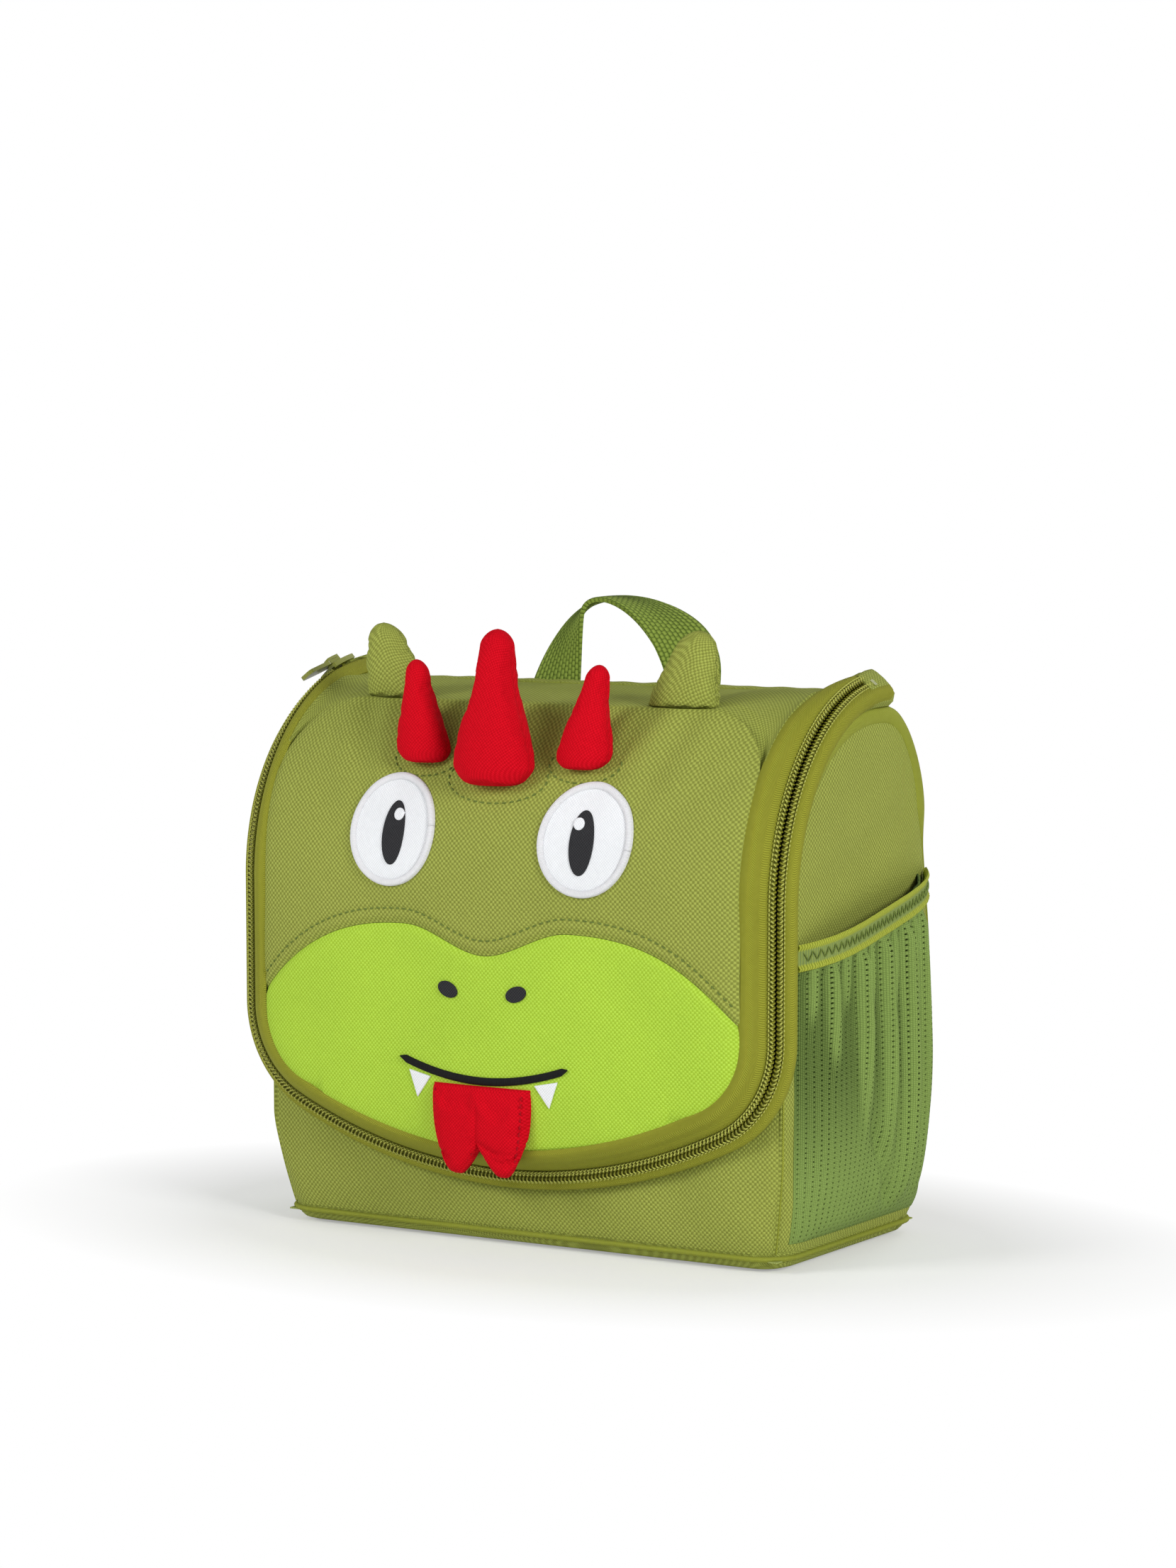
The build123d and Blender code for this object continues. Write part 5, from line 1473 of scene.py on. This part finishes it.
# %% Bands and their zigzag
y = np.linspace(-POCKET_Y, POCKET_Y, 121)
for side, word in ((1, "right"), (-1, "left")):
    t = np.linspace(0, 1, 19)[:, None]
    z = pocket_top(y) - BAND + BAND * t
    rolled = 0.75 * (np.exp(-(((t - 0.1) / 0.09) ** 2)) + np.exp(-(((t - 0.9) / 0.09) ** 2)))
    tucks = 0.16 * np.sin(y * 2.6) * np.exp(-(((t - 0.15) / 0.2) ** 2))
    x = pocket_out(np.broadcast_to(y, z.shape), z, 0.18) + 1.15 + rolled + tucks
    ys = np.broadcast_to(y, z.shape)
    cloth = np.stack(np.broadcast_arrays(t, ys), 2)
    band = sheet_piece(f"band_{word}", np.stack([side * x, ys, z], 2), 1.0, (side, 0, 0), cloth)
    dress(band, elastic, "elastic", "bag_body", f"pocket_band_{word}")
    knots = np.linspace(-POCKET_Y + 1.5, POCKET_Y - 1.5, 62)
    height = pocket_top(knots) - BAND * np.where(np.arange(len(knots)) % 2, 0.68, 0.32)
    place = np.stack([side * (pocket_out(knots, height, 0.18) + 1.3), knots, height], 1)
    outward = np.broadcast_to([side * 1.0, 0, 0], (len(knots) - 1, 3))
    zigzag = thread_piece(f"zigzag_{word}", place[:-1], place[1:], outward, 0.26, 0.2)
    dress(zigzag, sewing_thread, "elastic", "bag_body")
print("bands follow the slope from", pocket_top(-POCKET_Y), "to", pocket_top(POCKET_Y), "mm")

# %% [markdown]
# ## The carry loop
# Twenty-millimetre webbing, sewn into the hinge seam at both feet. The feet lie flat against the seam and
# the top turns flat side up, so the strap twists a quarter turn on each side. A stiff strap holds that arch.

# %% Webbing loop
LOOP_HALF, LOOP_SHIFT, LOOP_BACK, LOOP_RISE, LOOP_WIDE = 28, 10, 10, 32, 20
RIB_PITCH = 1.6
t = np.linspace(0, np.pi, 121)
lift = np.sin(t)
loop_x = -LOOP_HALF * np.cos(t) - LOOP_SHIFT * lift**2
centre = np.stack([loop_x, 15.9 + LOOP_BACK * lift, 186.1 + LOOP_RISE * lift], 1)
way_x = LOOP_HALF * lift - 2 * LOOP_SHIFT * lift * np.cos(t)
way = unit(np.stack([way_x, LOOP_BACK * np.cos(t), LOOP_RISE * np.cos(t)], 1))
across = np.stack([-np.cos(t), np.sin(t), 0 * t], 1)
across -= way * (across * way).sum(1, keepdims=True)
across = unit(across)
k = np.linspace(-0.5, 0.5, 25)
grid = centre[:, None] + across[:, None] * (LOOP_WIDE * k)[None, :, None]
up = normals_of(grid, UPWARD)
thin = 0.16 * np.cos(k * LOOP_WIDE * 2 * np.pi / RIB_PITCH)[None] - 0.35 * (np.abs(k) > 0.47)[None]
run = run_of(centre)
flat = np.stack(np.broadcast_arrays((LOOP_WIDE * k)[None], run[:, None]), 2)
loop = sheet_piece("loop_webbing", grid + up * thin[..., None], 1.5, UPWARD, flat)
dress(loop, webbing, "webbing", "carry_loop", "carry_loop")
print("the loop's webbing is", round(run[-1]), "mm long between its feet")

# %% [markdown]
# ## The cloth hinge
# The flap has no metal hinge: its top is sewn to the back panel, and the seam's turned edge is what bends.
# A narrow piece spans the seam. It rides on neither body, so it stays where it is when the flap opens.
# The zip runs into each end of that seam. There a folded end of cloth, sewn to the body, covers the tapes.

# %% Hinge seam
profile = np.array([
    (8.2, 188.5), (9.6, 188.8), (11.0, 189.0), (12.4, 189.1), (13.6, 188.9),
    (14.6, 188.3), (15.2, 187.3), (15.4, 186.0), (15.4, 184.6),
])
s = np.linspace(0, 1, 33)
profile = read_at(s, np.linspace(0, 1, len(profile)), profile)
x = np.linspace(-94.0, 94.0, 140)
wave = 0.12 * np.sin(x * 0.5) + 0.1 * uneven(x, 0 * x, 14, 71)
rows = np.stack(np.broadcast_arrays(x, profile[:, :1], profile[:, 1:] + wave[None]), 2)
flat = np.stack(np.broadcast_arrays(x, s[:, None] * 14), 2)
hinge = sheet_piece("hinge_cloth", rows, 0.9, (0, 0.3, 1), flat)
dress(hinge, green_cloth, "green_cloth", None, "hinge_seam")
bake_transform(hinge)
print("hinge cloth is", round(hinge.dimensions.x * 1000), "mm wide")

# %% Cloth over the zip's ends
ridge = np.array([
    (92.5, 189.0), (93.7, 193.6), (96.4, 195.0), (98.5, 195.5), (101.0, 196.4), (102.5, 195.6),
    (105.0, 193.8), (107.3, 191.6), (108.9, 189.0), (108.0, 186.0), (105.0, 183.9),
])
foot_z, near_x, foot_wide, front_y, roll_deep, tab_long = 183.9, 92.5, 11.0, 8.6, 8.4, 11.5
share = np.linspace(0, 1, 31)
ridge = read_at(share, np.linspace(0, 1, len(ridge)), ridge)
turn = np.concatenate([np.linspace(-1, 0, 9)[:-1], np.linspace(0, np.pi / 2, 15)])[:, None]
rolled, ahead = np.maximum(turn, 0), np.minimum(turn, 0)
down = 1 - np.cos(rolled)
for side, word in ((1, "right"), (-1, "left")):
    x = ridge[:, 0] + (near_x + foot_wide * share - ridge[:, 0]) * down
    y = front_y + roll_deep * np.sin(rolled) + tab_long * ahead * ease(ridge[:, 0], 99, 102.5)
    z = ridge[:, 1] + (foot_z - ridge[:, 1]) * down + 0.12 * uneven(x, y, 12, 75 + side) - 1.1 * ahead**2
    end = sheet_piece(f"zip_end_{word}", np.stack([side * x, y, z], 2), 0.8, (0, 0.5, 1))
    dress(end, green_cloth, "green_cloth", "bag_body")
    print(end.name, "stands up to", round(float(z.max()), 1), "mm")

# %% [markdown]
# ## Linings
# Inside, a finer cloth covers the foam. It shows when the flap is open. Each lining lies behind its outer
# skin and puffs gently into the room.

# %% Inner skins
LINING_THICK, LINING_X, LINING_FOOT, BASE_X, BASE_Y = 0.5, 97.3, 5, 98, 48.5
for side, word in ((1, "right"), (-1, "left")):
    y, z = side_skin(4.0, 5.0, 61, 41)
    edge = np.maximum(side_edge(y, z) - 4, 0)
    x = 97.5 - 0.5 * ease(edge, 0, 12) - 0.4 * uneven(y, z, 40, 81 + side) * ease(edge, 0, 14)
    points = np.stack([side * x, y, z], 2)
    made = sheet_piece(f"inner_side_{word}", points, LINING_THICK, (-side, 0, 0), np.stack([y, z], 2))
    dress(made, lining_cloth, "lining", "bag_body", f"side_lining_{word}")
x = np.linspace(-LINING_X, LINING_X, 91)
grid = back_wall(x, BACK_R - 4.1, LINING_FOOT, 31, 18)
inward = -normals_of(grid, UP_THE_BACK)
puff = (0.5 + 0.4 * uneven(grid[..., 0], grid[..., 2], 50, 91)) * ease(LINING_X - np.abs(x), 0, 10)
made = sheet_piece("inner_back", grid + inward * puff[..., None], LINING_THICK, (0, -1, -0.2))
dress(made, lining_cloth, "lining", "bag_body", "back_lining")
rim = bow_height(x, 2.5)
z = LINING_FOOT + (rim - LINING_FOOT) * np.linspace(0, 1, 21)[:, None]
xs = np.broadcast_to(x, z.shape)
y = -48.4 + 0.4 * uneven(xs, z, 40, 95) * ease(rim - z, 0, 6)
made = sheet_piece("inner_front", np.stack([xs, y, z], 2), LINING_THICK, (0, 1, 0))
dress(made, lining_cloth, "lining", "bag_body", "front_lining")
x, y = np.meshgrid(np.linspace(-BASE_X, BASE_X, 81), np.linspace(-BASE_Y, BASE_Y, 41))
inside = np.minimum(ease(BASE_X - np.abs(x), 0, 8), ease(BASE_Y - np.abs(y), 0, 8))
z = 4.0 + 0.5 * uneven(x, y, 45, 97) * inside
z = z + 0.8 - 0.8 * ((x / BASE_X) ** 2 + (y / BASE_Y) ** 2) / 2
made = sheet_piece("inner_base", np.stack([x, y, z], 2), LINING_THICK, UPWARD, np.stack([x, y], 2))
dress(made, lining_cloth, "lining", "bag_body", "base_lining")
print("body linings done")

# %% The flap's linings
x = 90.0 * np.linspace(-1, 1, 101)
outer_x, drawn_in = x * FACE_HALF / 90.5, 4.5
low, high = bow_height(outer_x, TAPE_REACH) + drawn_in, face_upper(outer_x) - drawn_in
z = low + (high - low) * np.linspace(0, 1, 81)[:, None]
xs = np.broadcast_to(x, z.shape)
y = face_plain(xs, z) + 3.5 + 0.25 * uneven(xs, z, 40, 101)
made = sheet_piece("inner_face", np.stack([xs, y, z], 2), LINING_THICK, (0, 1, 0))
dress(made, lining_cloth, "lining", "flap", "face_lining")
DOWNWARD = (0, 0, -1)
grid = top_form(41, 121)
grid = grid + normals_of(grid, DOWNWARD) * 1.6
made = sheet_piece("inner_top", grid, LINING_THICK, DOWNWARD)
dress(made, lining_cloth, "lining", "flap", "flap_top_lining")
print("flap linings done")

# %% [markdown]
# ## The body settles
# Cloth can't hold a sharp corner. Near the floor each upright edge of the body rounds off into the tray, and
# the back leans in a little over its upper half. Both are one smooth move of the points, the same for skins,
# linings, pockets and bindings, so pieces that touch still touch.

# %% Round the foot and ease the back
def settled(places):
    """Body points in mm after the foot has rounded and the back has leaned in."""
    round_below, round_over, tuck_deep, tuck_high, lean = 44, 40, 4.5, 22, 7.0
    x, y, z = places.T.copy()
    radius = FOOT_R * ease(round_below - z, 0, round_over)
    in_x, in_y = np.abs(x) - (SIDE_X - radius), np.abs(y) - (SIDE_Y - radius)
    corner = (in_x > 0) & (in_y > 0)
    far = np.maximum(in_x, in_y)
    share = np.where(corner, far / np.maximum(np.hypot(in_x, in_y), 1e-9), 1.0)
    x = np.where(corner, np.sign(x) * (SIDE_X - radius + in_x * share), x)
    y = np.where(corner, np.sign(y) * (SIDE_Y - radius + in_y * share), y)
    tuck = tuck_deep * (1 - np.sqrt(1 - np.clip(1 - z / tuck_high, 0, 1) ** 2))
    x, y = x * (1 - tuck / SIDE_X), y * (1 - tuck / SIDE_Y)
    y = y - lean * ease(z, 90, 150) * ease(y, 14, 50)
    return np.stack([x, y, z], 1)


names = ["front", "back", "inner_back", "inner_front"]
kinds = ("side", "binding", "pocket", "inner_side")
names += [f"{kind}_{word}" for kind in kinds for word in ("right", "left")]
for name in names:
    skin = bpy.data.objects[name].data
    places = np.empty(len(skin.vertices) * 3)
    skin.vertices.foreach_get("co", places)
    skin.vertices.foreach_set("co", (settled(places.reshape(-1, 3) / MM) * MM).ravel())
    skin.update()
print("settled", len(names), "pieces")

# %% [markdown]
# ## Small hard parts
# The slider, its pull and the two end stops are painted metal. Their solids already have the right form,
# so they stay, and only take a finish.

# %% Finish the hard parts
for name in ("zip_slider", "zip_pull", "zip_stop_left", "zip_stop_right"):
    node = frame["nodes"][name]
    node.data.materials.clear()
    node.data.materials.append(slider_metal)
print("hard parts finished")

# %% [markdown]
# ## Floor and light
# A pale seamless floor and soft lamps. Close to the bag the floor is mostly plain matt white, so it keeps a
# soft shadow. Further out it turns to clean white for the camera and for reflections only, by Light Path and
# a mask of distance, so no edge of the floor shows and the floor throws no extra light on the bag.

# %% Floor
mesh = bpy.data.meshes.new("floor")
floor_half = 6
floor_corners = [(a * floor_half, b * floor_half, 0) for a, b in ((-1, -1), (1, -1), (1, 1), (-1, 1))]
mesh.from_pydata(floor_corners, [], [[0, 1, 2, 3]])
floor = bpy.data.objects.new("floor", mesh)
bpy.context.scene.collection.objects.link(floor)
paint = bpy.data.materials.new("floor")
paint.use_nodes = True
tree = paint.node_tree
matt, out = tree.nodes["Principled BSDF"], tree.nodes["Material Output"]
matt.inputs["Base Color"].default_value = (0.98, 0.98, 0.98, 1)
matt.inputs["Roughness"].default_value = 0.9
matt.inputs["Specular IOR Level"].default_value = 0.1
seen = tree.nodes.new("ShaderNodeEmission")
stretched, distance = tree.nodes.new("ShaderNodeVectorMath"), tree.nodes.new("ShaderNodeVectorMath")
stretched.operation, distance.operation = "MULTIPLY", "LENGTH"
stretched.inputs[1].default_value = (1.0, 1.5, 1.0)
tree.links.new(tree.nodes.new("ShaderNodeTexCoord").outputs["Object"], stretched.inputs[0])
tree.links.new(stretched.outputs[0], distance.inputs[0])
path_node, mixed = tree.nodes.new("ShaderNodeLightPath"), tree.nodes.new("ShaderNodeMixShader")
looked_at = maths(tree, "MAXIMUM", path_node.outputs["Is Camera Ray"], path_node.outputs["Is Glossy Ray"])
near, far, least_white = 0.10, 0.24, 0.35
away_mask = maths(tree, "MAXIMUM", ramped(tree, distance.outputs["Value"], near, far), least_white)
tree.links.new(maths(tree, "MULTIPLY", looked_at, away_mask), mixed.inputs[0])
tree.links.new(matt.outputs[0], mixed.inputs[1])
tree.links.new(seen.outputs[0], mixed.inputs[2])
tree.links.new(mixed.outputs[0], out.inputs["Surface"])
floor.data.materials.append(paint)
floor.location.z = -0.0005
print("floor at", floor.location.z)

# %% Lamps and world
def lamp(name, place, size, power):
    """A square soft lamp that faces the bag."""
    data = bpy.data.lights.new(name, "AREA")
    data.size, data.energy = size, power
    made = bpy.data.objects.new(name, data)
    made.location = place
    made.rotation_mode = "QUATERNION"
    made.rotation_quaternion = (Vector((0, 0, 0.1)) - Vector(place)).to_track_quat("-Z", "Y")
    bpy.context.scene.collection.objects.link(made)


lamp("key", (-1.1, -1.7, 1.0), 0.8, 21)
lamp("side", (1.9, -0.9, 0.9), 0.6, 29)
lamp("back", (0.2, 1.7, 1.2), 0.9, 6)
world = bpy.data.worlds.new("studio")
bpy.context.scene.world = world
world.use_nodes = True
tree = world.node_tree
plain, seen = tree.nodes["Background"], tree.nodes.new("ShaderNodeBackground")
plain.inputs["Color"].default_value, plain.inputs["Strength"].default_value = (1, 1, 1, 1), 0.34
seen.inputs["Color"].default_value, seen.inputs["Strength"].default_value = (1, 1, 1, 1), 1.0
path_node, pick = tree.nodes.new("ShaderNodeLightPath"), tree.nodes.new("ShaderNodeMixShader")
rays = path_node.outputs
looked_at = maths(tree, "MAXIMUM", rays["Is Camera Ray"], rays["Is Transmission Ray"])
tree.links.new(looked_at, pick.inputs[0])
tree.links.new(plain.outputs[0], pick.inputs[1])
tree.links.new(seen.outputs[0], pick.inputs[2])
tree.links.new(pick.outputs[0], tree.nodes["World Output"].inputs["Surface"])
bpy.context.scene.view_settings.view_transform = "Standard"
